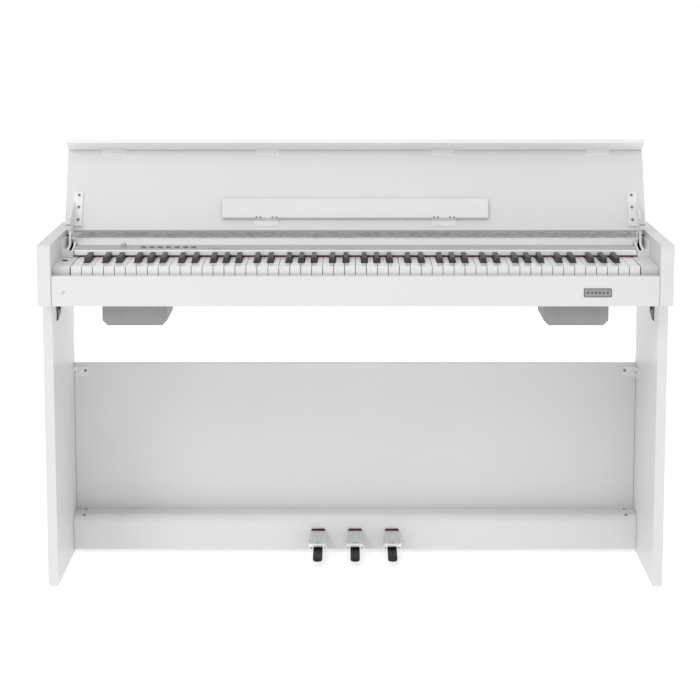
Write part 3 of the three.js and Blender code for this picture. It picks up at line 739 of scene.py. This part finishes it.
def add_box_screws():
    """Two dark screws near each end of the pedal box, and a row along the back boards."""
    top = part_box("pedal_box")[1].z
    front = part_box("pedal_box")[0].y
    spots = []
    lean = math.radians(26.4)
    for side, _ in SIDES:
        spots.append(((side * 0.635, front + 54 * MM, top), (0, 0, 1)))
        spots.append(((side * 0.6337, front + 10 * MM, top - 1.9 * MM), (0, -math.sin(lean), math.cos(lean))))
    add_screws("pedal_box_screws", spots, "root")
    rear_lo, rear_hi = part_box("rear_panel")
    kick_lo, kick_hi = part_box("kick_panel")
    spots = []
    for n in range(7):
        x = -0.6 + 0.2 * n
        for z in (rear_lo.z + 9 * MM, rear_hi.z - 9 * MM):
            spots.append(((x, rear_hi.y, z), (0, 1, 0)))
        if n % 2 == 0:
            spots.append(((x, kick_hi.y, kick_lo.z + 40 * MM), (0, 1, 0)))
    add_screws("rear_screws", spots, "root")


add_rail_details()
add_bed_brackets()
add_kick_brackets()
add_box_screws()


# ---- keyboard


WHITE_COUNT = 52
KEY_GAP = 1.0 * MM
KEYS_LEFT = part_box("keys_white_low")[0].x
KEY_PITCH = (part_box("keys_white_high")[1].x - KEYS_LEFT + KEY_GAP) / WHITE_COUNT
WHITE_LOW, WHITE_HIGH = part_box("key_white_c4")
BLACK_LOW, BLACK_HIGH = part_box("key_black_cs4")
BLACK_SHIFT = {"a": 4 * MM, "c": -3 * MM, "d": 3 * MM, "f": -4 * MM, "g": 0.0}
NOTCH_WIDTH = 15 * MM
NOTCH_DEPTH = 52 * MM
BODY_END = WHITE_LOW.y + 178 * MM
SOLO_FIRST, SOLO_LAST = 23, 29


def letter(i):
    return "abcdefg"[i % 7]


def key_edge(i):
    return KEYS_LEFT - KEY_GAP / 2 + i * KEY_PITCH


def has_black(i):
    return 0 <= i < WHITE_COUNT - 1 and letter(i) in BLACK_SHIFT


def black_centre(i):
    return key_edge(i + 1) + BLACK_SHIFT[letter(i)]


def white_outline(i, inset, front):
    left, right = key_edge(i) + KEY_GAP / 2 + inset, key_edge(i + 1) - KEY_GAP / 2 - inset
    tail_left = black_centre(i - 1) + NOTCH_WIDTH / 2 + inset if has_black(i - 1) else left
    tail_right = black_centre(i) - NOTCH_WIDTH / 2 - inset if has_black(i) else right
    notch = WHITE_LOW.y + NOTCH_DEPTH - inset
    outline = [(left, front), (right, front)]
    if tail_right < right:
        outline += [(right, notch), (tail_right, notch)]
    outline += [(tail_right, BODY_END), (tail_left, BODY_END)]
    if tail_left > left:
        outline += [(tail_left, notch), (left, notch)]
    return outline, tail_left, tail_right


def white_key(i):
    """One white key: a cap whose lip stands over a slightly narrower body, and the tail behind."""
    bm = new_bm()
    seam = WHITE_HIGH.z - 2.7 * MM
    cap, tail_left, tail_right = white_outline(i, 0.0, WHITE_LOW.y)
    prism(bm, cap, "z", seam, WHITE_HIGH.z)
    soften(bm, 0.55 * MM, 3)
    body, _, _ = white_outline(i, 0.15 * MM, WHITE_LOW.y + 0.9 * MM)
    under = new_bm()
    prism(under, body, "z", WHITE_LOW.z, seam + 0.1 * MM)
    slab(under, (tail_left, BODY_END - 1 * MM, WHITE_LOW.z), (tail_right, WHITE_HIGH.y, WHITE_LOW.z + 9 * MM))
    soften(under, 0.3 * MM, 2)
    body_mesh = mesh_of("key_body", under)
    stamp(bm, body_mesh)
    bpy.data.meshes.remove(body_mesh)
    return mesh_of("white_key", bm)


def black_key():
    """A black key centred on x = 0: leaning front, sides that close in, rounded edges and rear end."""
    bm = cad_bm("key_black_cs4")
    centre = (BLACK_LOW.x + BLACK_HIGH.x) / 2
    bmesh.ops.translate(bm, vec=(-centre, 0, 0), verts=bm.verts)
    soften(bm, 1.1 * MM, 4, 20.0)
    return mesh_of("black_key", bm)


def add_comb(node, members, look):
    """Stands separate detailed keys in for a CAD comb."""
    bm = new_bm()
    for source, matrix in members:
        stamp(bm, source, matrix, rng.random())
    return add_piece(f"{node}_keys", bm, look, NODES[node]["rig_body"], [node])


def add_keys():
    white = [white_key(i) for i in range(WHITE_COUNT)]
    black = black_key()
    still = Matrix.Identity(4)

    def black_at(i):
        return black, Matrix.Translation((black_centre(i), 0, 0))

    low, high = range(0, SOLO_FIRST), range(SOLO_LAST + 1, WHITE_COUNT)
    for word, group in (("low", low), ("high", high)):
        add_comb(f"keys_white_{word}", [(white[i], still) for i in group], KEY_WHITE)
        add_comb(f"keys_black_{word}", [black_at(i) for i in group if has_black(i)], KEY_BLACK)
    for i in range(SOLO_FIRST, SOLO_LAST + 1):
        add_comb(f"key_white_{letter(i)}4", [(white[i], still)], KEY_WHITE)
        if has_black(i):
            add_comb(f"key_black_{letter(i)}s4", [black_at(i)], KEY_BLACK)


add_keys()
refine("key_felt", 0.7 * MM, FELT_RED)
refine("key_frame", 0.4 * MM, GREY_MOULDING)


# ---- control panel


def panel_frame(x, y):
    """The frame of something that stands on the panel's sloping top."""
    knob = JOINTS["knob_turn"]
    up = Vector(knob["axis"])
    base = Vector(knob["pos_m"])
    rise = -up.y / up.z
    return facing((x, y, base.z + (y - base.y) * rise), up)


def add_panel():
    bm = cad_bm("control_panel")
    up = Vector(JOINTS["knob_turn"]["axis"])
    # Top faces take the darker silver, every other face the near-white one: painted shade on the top, painted
    # highlight on the fronts.
    top_faces = [f for f in bm.faces if f.normal.dot(up) > 0.999]
    for face in top_faces:
        face.material_index = 1
    soften(bm, 0.35 * MM, 2, 28.0)
    for face in bm.faces:
        if face.material_index == 1 and face.normal.dot(up) < 0.9:
            face.material_index = 0
    looks = [TRIM_PAINTED_HIGHLIGHT, PANEL_TOP_PAINTED_SHADE]
    add_piece("control_panel_shell", bm, looks, "root", ["control_panel"])


def add_knob():
    """Volume knob with fine flutes, a chamfered cap and a pointer line."""
    spot = panel_frame(JOINTS["knob_turn"]["pos_m"][0], JOINTS["knob_turn"]["pos_m"][1])
    radius, height = 6.0 * MM, 10.0 * MM
    flutes, steps = 24, 96
    bm = new_bm()
    profile = [
        (0.98, 0.4 * MM), (1.0, 0.9 * MM), (0.97, 4 * MM), (0.93, 8.6 * MM), (0.88, 9.4 * MM), (0.80, height),
        (0.62, height), (0.55, 9.6 * MM), (0.0, 9.5 * MM),
    ]
    loops = []
    for share, z in profile:
        if share == 0.0:
            loops.append([bm.verts.new(spot @ Vector((0, 0, z)))])
            continue
        loop = []
        for k in range(steps):
            angle = 2 * math.pi * k / steps
            fluted = 1 - (0.035 * (0.5 + 0.5 * math.cos(flutes * angle)) if share > 0.85 else 0)
            reach = radius * share * fluted
            loop.append(bm.verts.new(spot @ Vector((reach * math.cos(angle), reach * math.sin(angle), z))))
        loops.append(loop)
    for a, b in zip(loops, loops[1:]):
        for k in range(steps):
            j = (k + 1) % steps
            bm.faces.new([a[k], a[j]] + ([b[0]] if len(b) == 1 else [b[j], b[k]]))
    bm.faces.new(reversed(loops[0]))
    bmesh.ops.recalc_face_normals(bm, faces=bm.faces)
    turned(bm, disc(3 * MM, -8 * MM, 0.6 * MM), spot, 24)
    add_piece("volume_knob_cap", bm, KNOB_METAL, "knob", ["volume_knob"])
    bm = new_bm()
    mark = slab(bm, (-0.45 * MM, 1.0 * MM, 9.3 * MM), (0.45 * MM, 4.9 * MM, 10.15 * MM))
    bmesh.ops.transform(bm, matrix=spot, verts=mark)
    soften(bm, 0.12 * MM, 2)
    add_piece("volume_knob_pointer", bm, BLACK_MOULDING, "knob")


def add_buttons():
    # The buttons are painted dark grey as shade.
    for n in range(1, 8):
        node = f"button_{n}"
        refine(node, 0.7 * MM, PRINT_GREY_AND_BUTTON_SHADE)


PRINTED_BAR_X, PRINTED_DOT_X = -0.3155, -0.502


def add_panel_marks():
    """A plain bar and a dot printed on the panel's top."""
    knob_y = JOINTS["knob_turn"]["pos_m"][1]
    bm = new_bm()
    spot = panel_frame(PRINTED_BAR_X, knob_y - 15 * MM)
    bar = prism(bm, rounded(0, 0, 14.5 * MM, 1.5 * MM, 0.7 * MM), "z", -0.05 * MM, 0.12 * MM)
    bmesh.ops.transform(bm, matrix=spot, verts=bar)
    dot_spot = panel_frame(PRINTED_DOT_X, knob_y + 20 * MM)
    turned(bm, disc(1.7 * MM, -0.05 * MM, 0.12 * MM), dot_spot, 24)
    for n in range(1, 8):
        low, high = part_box(f"button_{n}")
        tick = prism(bm, rounded(0, 0, 3.2 * MM, 0.45 * MM, 0.3 * MM, 3), "z", -0.05 * MM, 0.12 * MM)
        bmesh.ops.transform(bm, matrix=panel_frame((low.x + high.x) / 2, knob_y + 7 * MM), verts=tick)
    add_piece("panel_print", bm, PRINT_GREY_AND_BUTTON_SHADE, "root")


TRIM_TOP = 0.7535


def spread(radius, step, count):
    """Points around a circle, step degrees apart, the first at the top."""
    turns = [math.radians(step * k) for k in range(count)]
    return [(radius * math.sin(turn), radius * math.cos(turn)) for turn in turns]


def add_grille():
    """The trim bar and a perforated steel strip over dark cloth."""
    low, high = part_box("speaker_grille")
    front = low.y
    bm = new_bm()
    bar = [
        (front, low.z), (front + 3 * MM, low.z), (front + 3 * MM, TRIM_TOP - 2 * MM),
        (front + 5.2 * MM, TRIM_TOP + 0.8 * MM), (front + 4.4 * MM, TRIM_TOP + 2.0 * MM),
        (front + 1.8 * MM, TRIM_TOP + 0.4 * MM), (front, TRIM_TOP - 0.4 * MM),
    ]
    prism(bm, bar, "x", low.x, high.x)
    soften(bm, 0.4 * MM, 3)
    # The trim bar takes the near-white silver, painted as a highlight.
    add_piece("grille_trim", bm, TRIM_PAINTED_HIGHLIGHT, "root")
    start = Vector((0, front + 3.4 * MM, TRIM_TOP + 1 * MM))
    rear = Vector((0, high.y, high.z - 0.6 * MM))
    end = rear - (rear - start).normalized() * 4.6 * MM
    along = (end - start).normalized()
    up = Vector((0, -along.z, along.y))
    length = (end - start).length
    pitch, hole = 3.5 * MM, 1.08 * MM
    row_step = pitch * math.sqrt(3) / 2
    rows = int(length / row_step)
    margin = (length - rows * row_step) / 2
    columns = int((high.x - low.x - 4 * MM) / pitch) - 1
    bm = new_bm()
    corners = spread(pitch / math.sqrt(3), 60, 6)
    rim = spread(hole, 30, 12)

    def at(x, t):
        return Vector((x, 0, 0)) + start + along * t

    for row in range(rows):
        t = margin + (row + 0.5) * row_step
        for column in range(columns):
            shift = (pitch / 2 if row % 2 else 0) - pitch / 4
            x = -(columns - 1) * pitch / 2 + column * pitch + shift
            outer = [bm.verts.new(at(x + u, t + v)) for u, v in corners]
            inner = [bm.verts.new(at(x + u, t + v)) for u, v in rim]
            for k in range(6):
                j = (k + 1) % 6
                bm.faces.new((outer[k], outer[j], inner[2 * j], inner[2 * k + 1], inner[2 * k]))
    bmesh.ops.remove_doubles(bm, verts=bm.verts, dist=0.05 * MM)
    bmesh.ops.recalc_face_normals(bm, faces=bm.faces)
    bm.faces.ensure_lookup_table()
    if bm.faces[0].normal.dot(up) < 0:
        bmesh.ops.reverse_faces(bm, faces=bm.faces)
    sheet = add_piece(
        "grille_sheet", bm, GRILLE_PAINT, "root", ["speaker_grille"], smooth=False
    )
    thick = sheet.modifiers.new("thickness", "SOLIDIFY")
    thick.thickness = 0.6 * MM
    thick.offset = -1.0
    bm = new_bm()
    half = high.x - 1 * MM

    def band(t0, t1, deep, lift):
        """The outline, across x, of a strip that follows the slope from t0 to t1."""
        a, b = start + along * t0, start + along * t1
        return [(p.y, p.z) for p in (a - up * deep, b - up * deep, b + up * lift, a + up * lift)]

    for t0, t1 in ((-0.5 * MM, 1.6 * MM), (length - 1.8 * MM, length + 0.2 * MM)):
        prism(bm, band(t0, t1, 0.9 * MM, 0.25 * MM), "x", -half, half)
    for side, _ in SIDES:
        x0, x1 = sorted((side * (half - 5 * MM), side * half))
        prism(bm, band(0.5 * MM, length - 0.5 * MM, 0.9 * MM, 0.25 * MM), "x", x0, x1)
    soften(bm, 0.2 * MM, 2)
    add_piece("grille_border", bm, GRILLE_PAINT, "root")
    bm = new_bm()
    a, b = start - up * 1.4 * MM, rear - up * 1.4 * MM
    outline = [(p.y, p.z) for p in (a - up * 0.8 * MM, b - up * 0.8 * MM, b, a)]
    prism(bm, outline, "x", -half, half)
    soften(bm, 0.2 * MM, 2)
    add_piece("grille_cloth", bm, DARK_CLOTH_AND_SLOT_SHADE, "root")


def add_liners():
    """The mouldings at the ends of the panel, with the walls inside the slots painted black as shade."""
    slot_from, slot_to, slot_front = 628.7 * MM, 634.5 * MM, -0.0356
    for _, word in SIDES:
        node = f"end_liner_{word}"
        bm = cad_bm(node)
        soften(bm, 0.7 * MM, 3)
        # Faces inside the slots, away from the pivot, are painted black as shade.
        for face in bm.faces:
            middle = face.calc_center_median()
            inside = slot_from < abs(middle.x) < slot_to and middle.y > slot_front
            if inside and abs(middle.z - LID_PIVOT.z) > 8 * MM:
                face.material_index = 1
        add_piece(f"{node}_shell", bm, [WHITE_MOULDING, DARK_CLOTH_AND_SLOT_SHADE], "root", [node])


LID_PIVOT = Vector(JOINTS["lid_hinge"]["pos_m"])
add_panel()
add_knob()
add_buttons()
add_panel_marks()
add_grille()
add_liners()
refine("main_board", 0.2 * MM, CIRCUIT, 2)


# ---- lid


LID_HINGE = JOINTS["lid_hinge"]
LID_OPEN = Matrix.Rotation(math.radians(-LID_HINGE["range_deg"][1]), 4, "X")
LID = Matrix.Translation(LID_HINGE["pos_m"]) @ LID_OPEN
TO_LID = LID.inverted()


def lid_box(node):
    """A node's lowest and highest corners in the closed lid's own frame, about its pivot."""
    corners = [TO_LID @ v.co for v in NODES[node].data.vertices]
    return [Vector(pick(c[k] for c in corners) for k in range(3)) for pick in (min, max)]


def add_lid_piece(name, bm, look, body):
    bmesh.ops.transform(bm, matrix=LID, verts=bm.verts)
    return add_piece(name, bm, look, body)


def knuckle(bm, x0, x1, y, z, radius):
    length = x1 - x0
    lip = radius * 0.15
    rings = [(0, 0), (radius - lip, 0), (radius, lip)]
    rings += [(radius, length - lip), (radius - lip, length), (0, length)]
    turned(bm, rings, along_x((x0, y, z)), 18)


def add_butt_hinge(name, x, axis, lid_leaf, other_leaf, other_body, screws, width, radius):
    """A butt hinge across the lid and another body, drawn in the closed lid's frame.

    screws holds, for the lid's leaf and for the other, the (dx, y, z, direction) spots and a look.
    """
    y, z = axis
    bm = new_bm()
    slab(bm, (x - width / 2, *lid_leaf[0]), (x + width / 2, *lid_leaf[1]))
    soften(bm, 0.2 * MM, 2)
    ends = [x - width / 2 + k * width / 5 for k in range(6)]
    for k in (0, 2, 4):
        knuckle(bm, ends[k], ends[k + 1] - 0.15 * MM, y, z, radius)
    add_lid_piece(f"{name}_lid_leaf", bm, POWDER_WHITE, "lid")
    bm = new_bm()
    slab(bm, (x - width / 2, *other_leaf[0]), (x + width / 2, *other_leaf[1]))
    soften(bm, 0.2 * MM, 2)
    for k in (1, 3):
        knuckle(bm, ends[k], ends[k + 1] - 0.15 * MM, y, z, radius)
    add_lid_piece(f"{name}_leaf", bm, POWDER_WHITE, other_body)
    rows = (("lid_screws", "lid", screws[0]), ("screws", other_body, screws[1]))
    for word, body, (spots, look) in rows:
        placed = [((x + dx, sy, sz), n) for dx, sy, sz, n in spots]
        add_screws(f"{name}_{word}", placed, body, SMALL_SCREW, LID, look)


FLAP_HINGES_X = (-0.5485, -0.1985, 0.1985, 0.5485)
REST_HINGES_X = (-0.1985, 0.1985)
BRACKET_SCREWS_X = 0.62
BRACKET_SCREWS_ALONG = (83, 54, 24)


def add_lid():
    refine("lid_panel", 1.3 * MM, FOIL)
    # The flap and the rest take the lighter foil copies, as painted light.
    refine("lid_flap", 1.3 * MM, FLAP_FOIL_PAINTED_LIGHT)
    refine("music_rest", 2.2 * MM, REST_FOIL_PAINTED_LIGHT, segments=4)
    for _, word in SIDES:
        refine(f"lid_bracket_{word}", 0.5 * MM, POWDER_WHITE)
    panel_low = lid_box("lid_panel")[0]
    under, front = panel_low.z, panel_low.y
    axis = (front - 0.15 * MM, under)
    flap_back = lid_box("lid_flap")[1].y
    for n, x in enumerate(FLAP_HINGES_X):
        lid_leaf = ((front + 0.2 * MM, under - 0.5 * MM), (front + 13 * MM, under - 0.02 * MM))
        flap_leaf = ((flap_back + 0.02 * MM, under - 14 * MM), (flap_back + 0.5 * MM, under - 0.4 * MM))
        offsets = (-17 * MM, 0, 17 * MM)
        lid_spots = [(dx, front + 6.8 * MM, under + 0.3 * MM, (0, 0, -1)) for dx in offsets]
        flap_spots = [(dx, flap_back - 0.3 * MM, under - 7.4 * MM, (0, 1, 0)) for dx in offsets]
        screws = ((lid_spots, SCREW_STEEL), (flap_spots, POWDER_WHITE))
        add_butt_hinge(f"flap_hinge_{n + 1}", x, axis, lid_leaf, flap_leaf, "flap", screws, 52 * MM, 1.8 * MM)
    rest_low, rest_high = lid_box("music_rest")
    edge = rest_high.y
    rest_axis = (edge + 1.5 * MM, under - 2.0 * MM)
    for n, x in enumerate(REST_HINGES_X):
        lid_leaf = ((rest_axis[0] + 0.3 * MM, under - 1.0 * MM), (rest_axis[0] + 15 * MM, under - 0.02 * MM))
        rest_leaf = ((edge + 0.02 * MM, rest_low.z + 0.8 * MM), (edge + 0.9 * MM, under - 1.6 * MM))
        offsets = (-22.5 * MM, -13.3 * MM, 13.3 * MM, 22.5 * MM)
        lid_spots = [(dx, rest_axis[0] + 10.5 * MM, under - 1.0 * MM, (0, 0, -1)) for dx in offsets]
        rest_spots = [(dx, edge - 1.4 * MM, rest_low.z + 0.5 * MM, (0, 0.45, -0.9)) for dx in offsets]
        screws = ((lid_spots, POWDER_WHITE), (rest_spots, SCREW_STEEL))
        add_butt_hinge(
            f"rest_hinge_{n + 1}", x, rest_axis, lid_leaf, rest_leaf, "rest_ledge", screws, 54 * MM, 1.4 * MM
        )
    for side, word in SIDES:
        x = side * BRACKET_SCREWS_X
        spots = [((x, -s * MM - 6 * MM, under - 3.3 * MM), (0, 0, -1)) for s in BRACKET_SCREWS_ALONG]
        add_screws(f"lid_bracket_screws_{word}", spots, "lid", SCREW, LID)


add_lid()


# ---- pedals, speakers and back


PEDAL_PIN_Z = 0.019
JACK_X = (0.400, 0.430, 0.460)
POWER_X = 0.510
JACK_Z = 0.715


def add_lever(word):
    """A lever with a round nose and well rounded edges, and its pin."""
    low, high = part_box(f"pedal_{word}")
    x, half = (low.x + high.x) / 2, 10.8 * MM
    outline = [(x + half, high.y), (x - half, high.y)]
    for k in range(21):
        angle = math.radians(180 + 9 * k)
        outline.append((x + half * math.cos(angle), low.y + half + half * math.sin(angle)))
    bm = new_bm()
    prism(bm, outline, "z", low.z, high.z)
    soften(bm, 2.8 * MM, 5, 30.0)
    turned(bm, disc(3 * MM, 0, high.x - low.x), along_x((low.x, high.y - 8 * MM, PEDAL_PIN_Z)), 20)
    add_piece(f"pedal_{word}_lever", bm, LEVER_BLACK, f"pedal_{word}", [f"pedal_{word}"])


def add_hood(word):
    """A satin hood with a polished lip, painted near-white as a highlight, small plain marks above the lip
    and a felt strip behind the top.
    """
    node = f"pedal_hood_{word}"
    low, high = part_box(node)
    x = (low.x + high.x) / 2
    bm = cad_bm(node)
    soften(bm, 0.9 * MM, 3, 20.0)
    # The lip at the front of the top takes the lighter metal, painted as a highlight.
    for face in bm.faces:
        middle = face.calc_center_median()
        if middle.y < low.y + 5.5 * MM and middle.z > 27.5 * MM:
            face.material_index = 1
    add_piece(f"{node}_shell", bm, [HOOD_SILVER, LIP_PAINTED_HIGHLIGHT], "root", [node])
    bm = new_bm()
    slope = math.atan2(2.5, 6.0)
    spot = facing((x, low.y + 6.4 * MM, 38.4 * MM), (0, -math.sin(slope), math.cos(slope)))
    mark = []
    for dx in (-4.6, 0.0, 4.6):
        mark += prism(bm, rounded(dx * MM, 0, 1.9 * MM, 1.0 * MM, 0.6 * MM, 3), "z", -0.1 * MM, 0.12 * MM)
    bmesh.ops.transform(bm, matrix=spot, verts=mark)
    add_piece(f"pedal_mark_{word}", bm, BADGE_GREY, "root")
    bm = new_bm()
    strip = [(x - 16.2 * MM, high.z - 3.4 * MM), (x + 16.2 * MM, high.z - 3.4 * MM)]
    for k in range(9):
        angle = math.radians(180 * k / 8)
        corner = 1 if k <= 4 else -1
        strip.append((
            x + corner * 12.4 * MM + 3.8 * MM * math.cos(angle),
            high.z + 0.6 * MM + 3.8 * MM * math.sin(angle),
        ))
    prism(bm, strip, "y", high.y - 3.6 * MM, high.y + 0.2 * MM)
    soften(bm, 0.8 * MM, 3, 35.0)
    add_piece(f"pedal_felt_{word}", bm, FELT_RED, "root")


def add_pedals():
    for word in ("left", "middle", "right"):
        add_lever(word)
        add_hood(word)
    refine("pedal_frame", 0.4 * MM, GREY_MOULDING)


def add_speakers():
    for _, word in SIDES:
        refine(f"speaker_box_{word}", 1.4 * MM, GREY_MOULDING)
        refine(f"speaker_driver_{word}", 0.4 * MM, BLACK_MOULDING)
        low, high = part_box(f"speaker_box_{word}")
        x, y = (low.x + high.x) / 2, (low.y + high.y) / 2
        bm = new_bm()
        for radius in (8, 16, 24, 32):
            ring = []
            for k in range(40):
                angle = 2 * math.pi * k / 40
                section = ((radius - 0.9, 0.4), (radius + 0.9, 0.4), (radius + 0.9, 2.2), (radius - 0.9, 2.2))
                ring.append([
                    bm.verts.new(Vector((x, y, low.z)) + around(r * MM, angle, z * MM)) for r, z in section
                ])
            join_loops(bm, ring)
        for k in range(3):
            turn = Matrix.Translation((x, y, 0)) @ Matrix.Rotation(math.radians(60 * k + 30), 4, "Z")
            bar = slab(bm, (-40.5 * MM, -1.0 * MM, low.z + 1.2 * MM), (40.5 * MM, 1.0 * MM, low.z + 2.4 * MM))
            bmesh.ops.transform(bm, matrix=turn, verts=bar)
        bmesh.ops.recalc_face_normals(bm, faces=bm.faces)
        soften(bm, 0.2 * MM, 2, 40.0)
        add_piece(f"speaker_guard_{word}", bm, GREY_MOULDING, "root")
        corners = [(dx * 55 * MM, dy * 48 * MM) for dx in (-1, 1) for dy in (-1, 1)]
        spots = [((x + dx, y + dy, low.z), (0, 0, -1)) for dx, dy in corners]
        add_screws(f"speaker_screws_{word}", spots, "root", SMALL_SCREW)


def add_jacks():
    refine("jack_plate", 0.5 * MM, BLACK_MOULDING)
    low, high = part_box("jack_plate")
    bm = new_bm()
    for x in JACK_X:
        spot = facing((x, high.y - 1.2 * MM, JACK_Z), (0, 1, 0))
        rings = [(3.1, -2.0), (3.1, 1.1), (4.9, 1.1), (5.1, 0.8), (5.1, -2.0)]
        loops = [
            [bm.verts.new(spot @ around(r * MM, 2 * math.pi * k / 28, z * MM)) for k in range(28)]
            for r, z in rings
        ]
        join_loops(bm, loops)
    bmesh.ops.recalc_face_normals(bm, faces=bm.faces)
    add_piece("jack_rings", bm, ZINC, "root")
    bm = new_bm()
    pin = [(0, -3), (1.0, -3), (1.0, 0.2), (0.5, 0.7), (0, 0.7)]
    turned(bm, in_mm(pin), facing((POWER_X, high.y - 2 * MM, JACK_Z), (0, 1, 0)), 16)
    add_piece("power_pin", bm, ZINC, "root")
    columns = (low.x + 7 * MM, high.x - 7 * MM)
    rows = (low.z + 7 * MM, high.z - 7 * MM)
    spots = [((x, high.y, z), (0, 1, 0)) for x in columns for z in rows]
    add_screws("jack_plate_screws", spots, "root", SMALL_SCREW)


add_pedals()
add_speakers()
add_jacks()


# ---- stage


def add_stage():
    bm = new_bm()
    slab(bm, (-14.0, -12.0, -0.02), (14.0, 14.0, -0.0005))
    mesh = mesh_of("floor", bm)
    mesh.materials.append(floor_look())
    floor = bpy.data.objects.new("floor", mesh)
    bpy.context.scene.collection.objects.link(floor)


def add_softbox(name, place, aim, size, power):
    light = bpy.data.lights.new(name, "AREA")
    light.shape = "DISK"
    light.size = size
    light.energy = power
    lamp = bpy.data.objects.new(name, light)
    lamp.location = place
    lamp.rotation_euler = (Vector(place) - Vector(aim)).to_track_quat("Z", "Y").to_euler()
    bpy.context.scene.collection.objects.link(lamp)


def add_sun(name, place, softness, strength):
    """A wide sun that shines from the direction of place."""
    light = bpy.data.lights.new(name, "SUN")
    light.angle = math.radians(softness)
    light.energy = strength
    lamp = bpy.data.objects.new(name, light)
    lamp.rotation_euler = Vector(place).to_track_quat("Z", "Y").to_euler()
    bpy.context.scene.collection.objects.link(lamp)


def add_world(seen, given):
    """A white studio: what the camera sees is white, and what it gives is a softer light."""
    world = bpy.data.worlds.new("studio")
    bpy.context.scene.world = world
    world.use_nodes = True
    tree = world.node_tree
    background = tree.nodes["Background"]
    background.inputs["Color"].default_value = (1.0, 1.0, 1.0, 1.0)
    path = tree.nodes.new("ShaderNodeLightPath")
    strength = tree.nodes.new("ShaderNodeMapRange")
    strength.inputs["To Min"].default_value = given
    strength.inputs["To Max"].default_value = seen
    tree.links.new(path.outputs["Is Camera Ray"], strength.inputs["Value"])
    tree.links.new(strength.outputs["Result"], background.inputs["Strength"])


CAMERA_PLACE = (-0.0118, -4.628, 1.3566)
CAMERA_TILT = 8.5
CAMERA_LENS = 107.6
CAMERA_SHIFT = -0.1


def add_camera():
    camera = bpy.data.cameras.new("camera")
    camera.lens = CAMERA_LENS
    camera.shift_y = CAMERA_SHIFT
    camera.clip_end = 100.0
    eye = bpy.data.objects.new("camera", camera)
    eye.location = CAMERA_PLACE
    eye.rotation_euler = (math.radians(90 - CAMERA_TILT), 0, 0)
    bpy.context.scene.collection.objects.link(eye)
    bpy.context.scene.camera = eye


add_stage()
add_world(seen=1.0, given=0.72)
add_softbox("key", (-2.5, -2.9, 3.3), (0.0, 0.0, 0.5), 1.5, 42)
add_sun("right_fill", (1.0, -0.5, 0.7), 50, 0.26)
add_sun("top_fill", (-0.2, -0.35, 1.0), 60, 0.28)
add_sun("rear_fill", (0.5, 0.8, 0.55), 50, 0.25)
add_camera()
bpy.context.scene.view_settings.view_transform = "Standard"
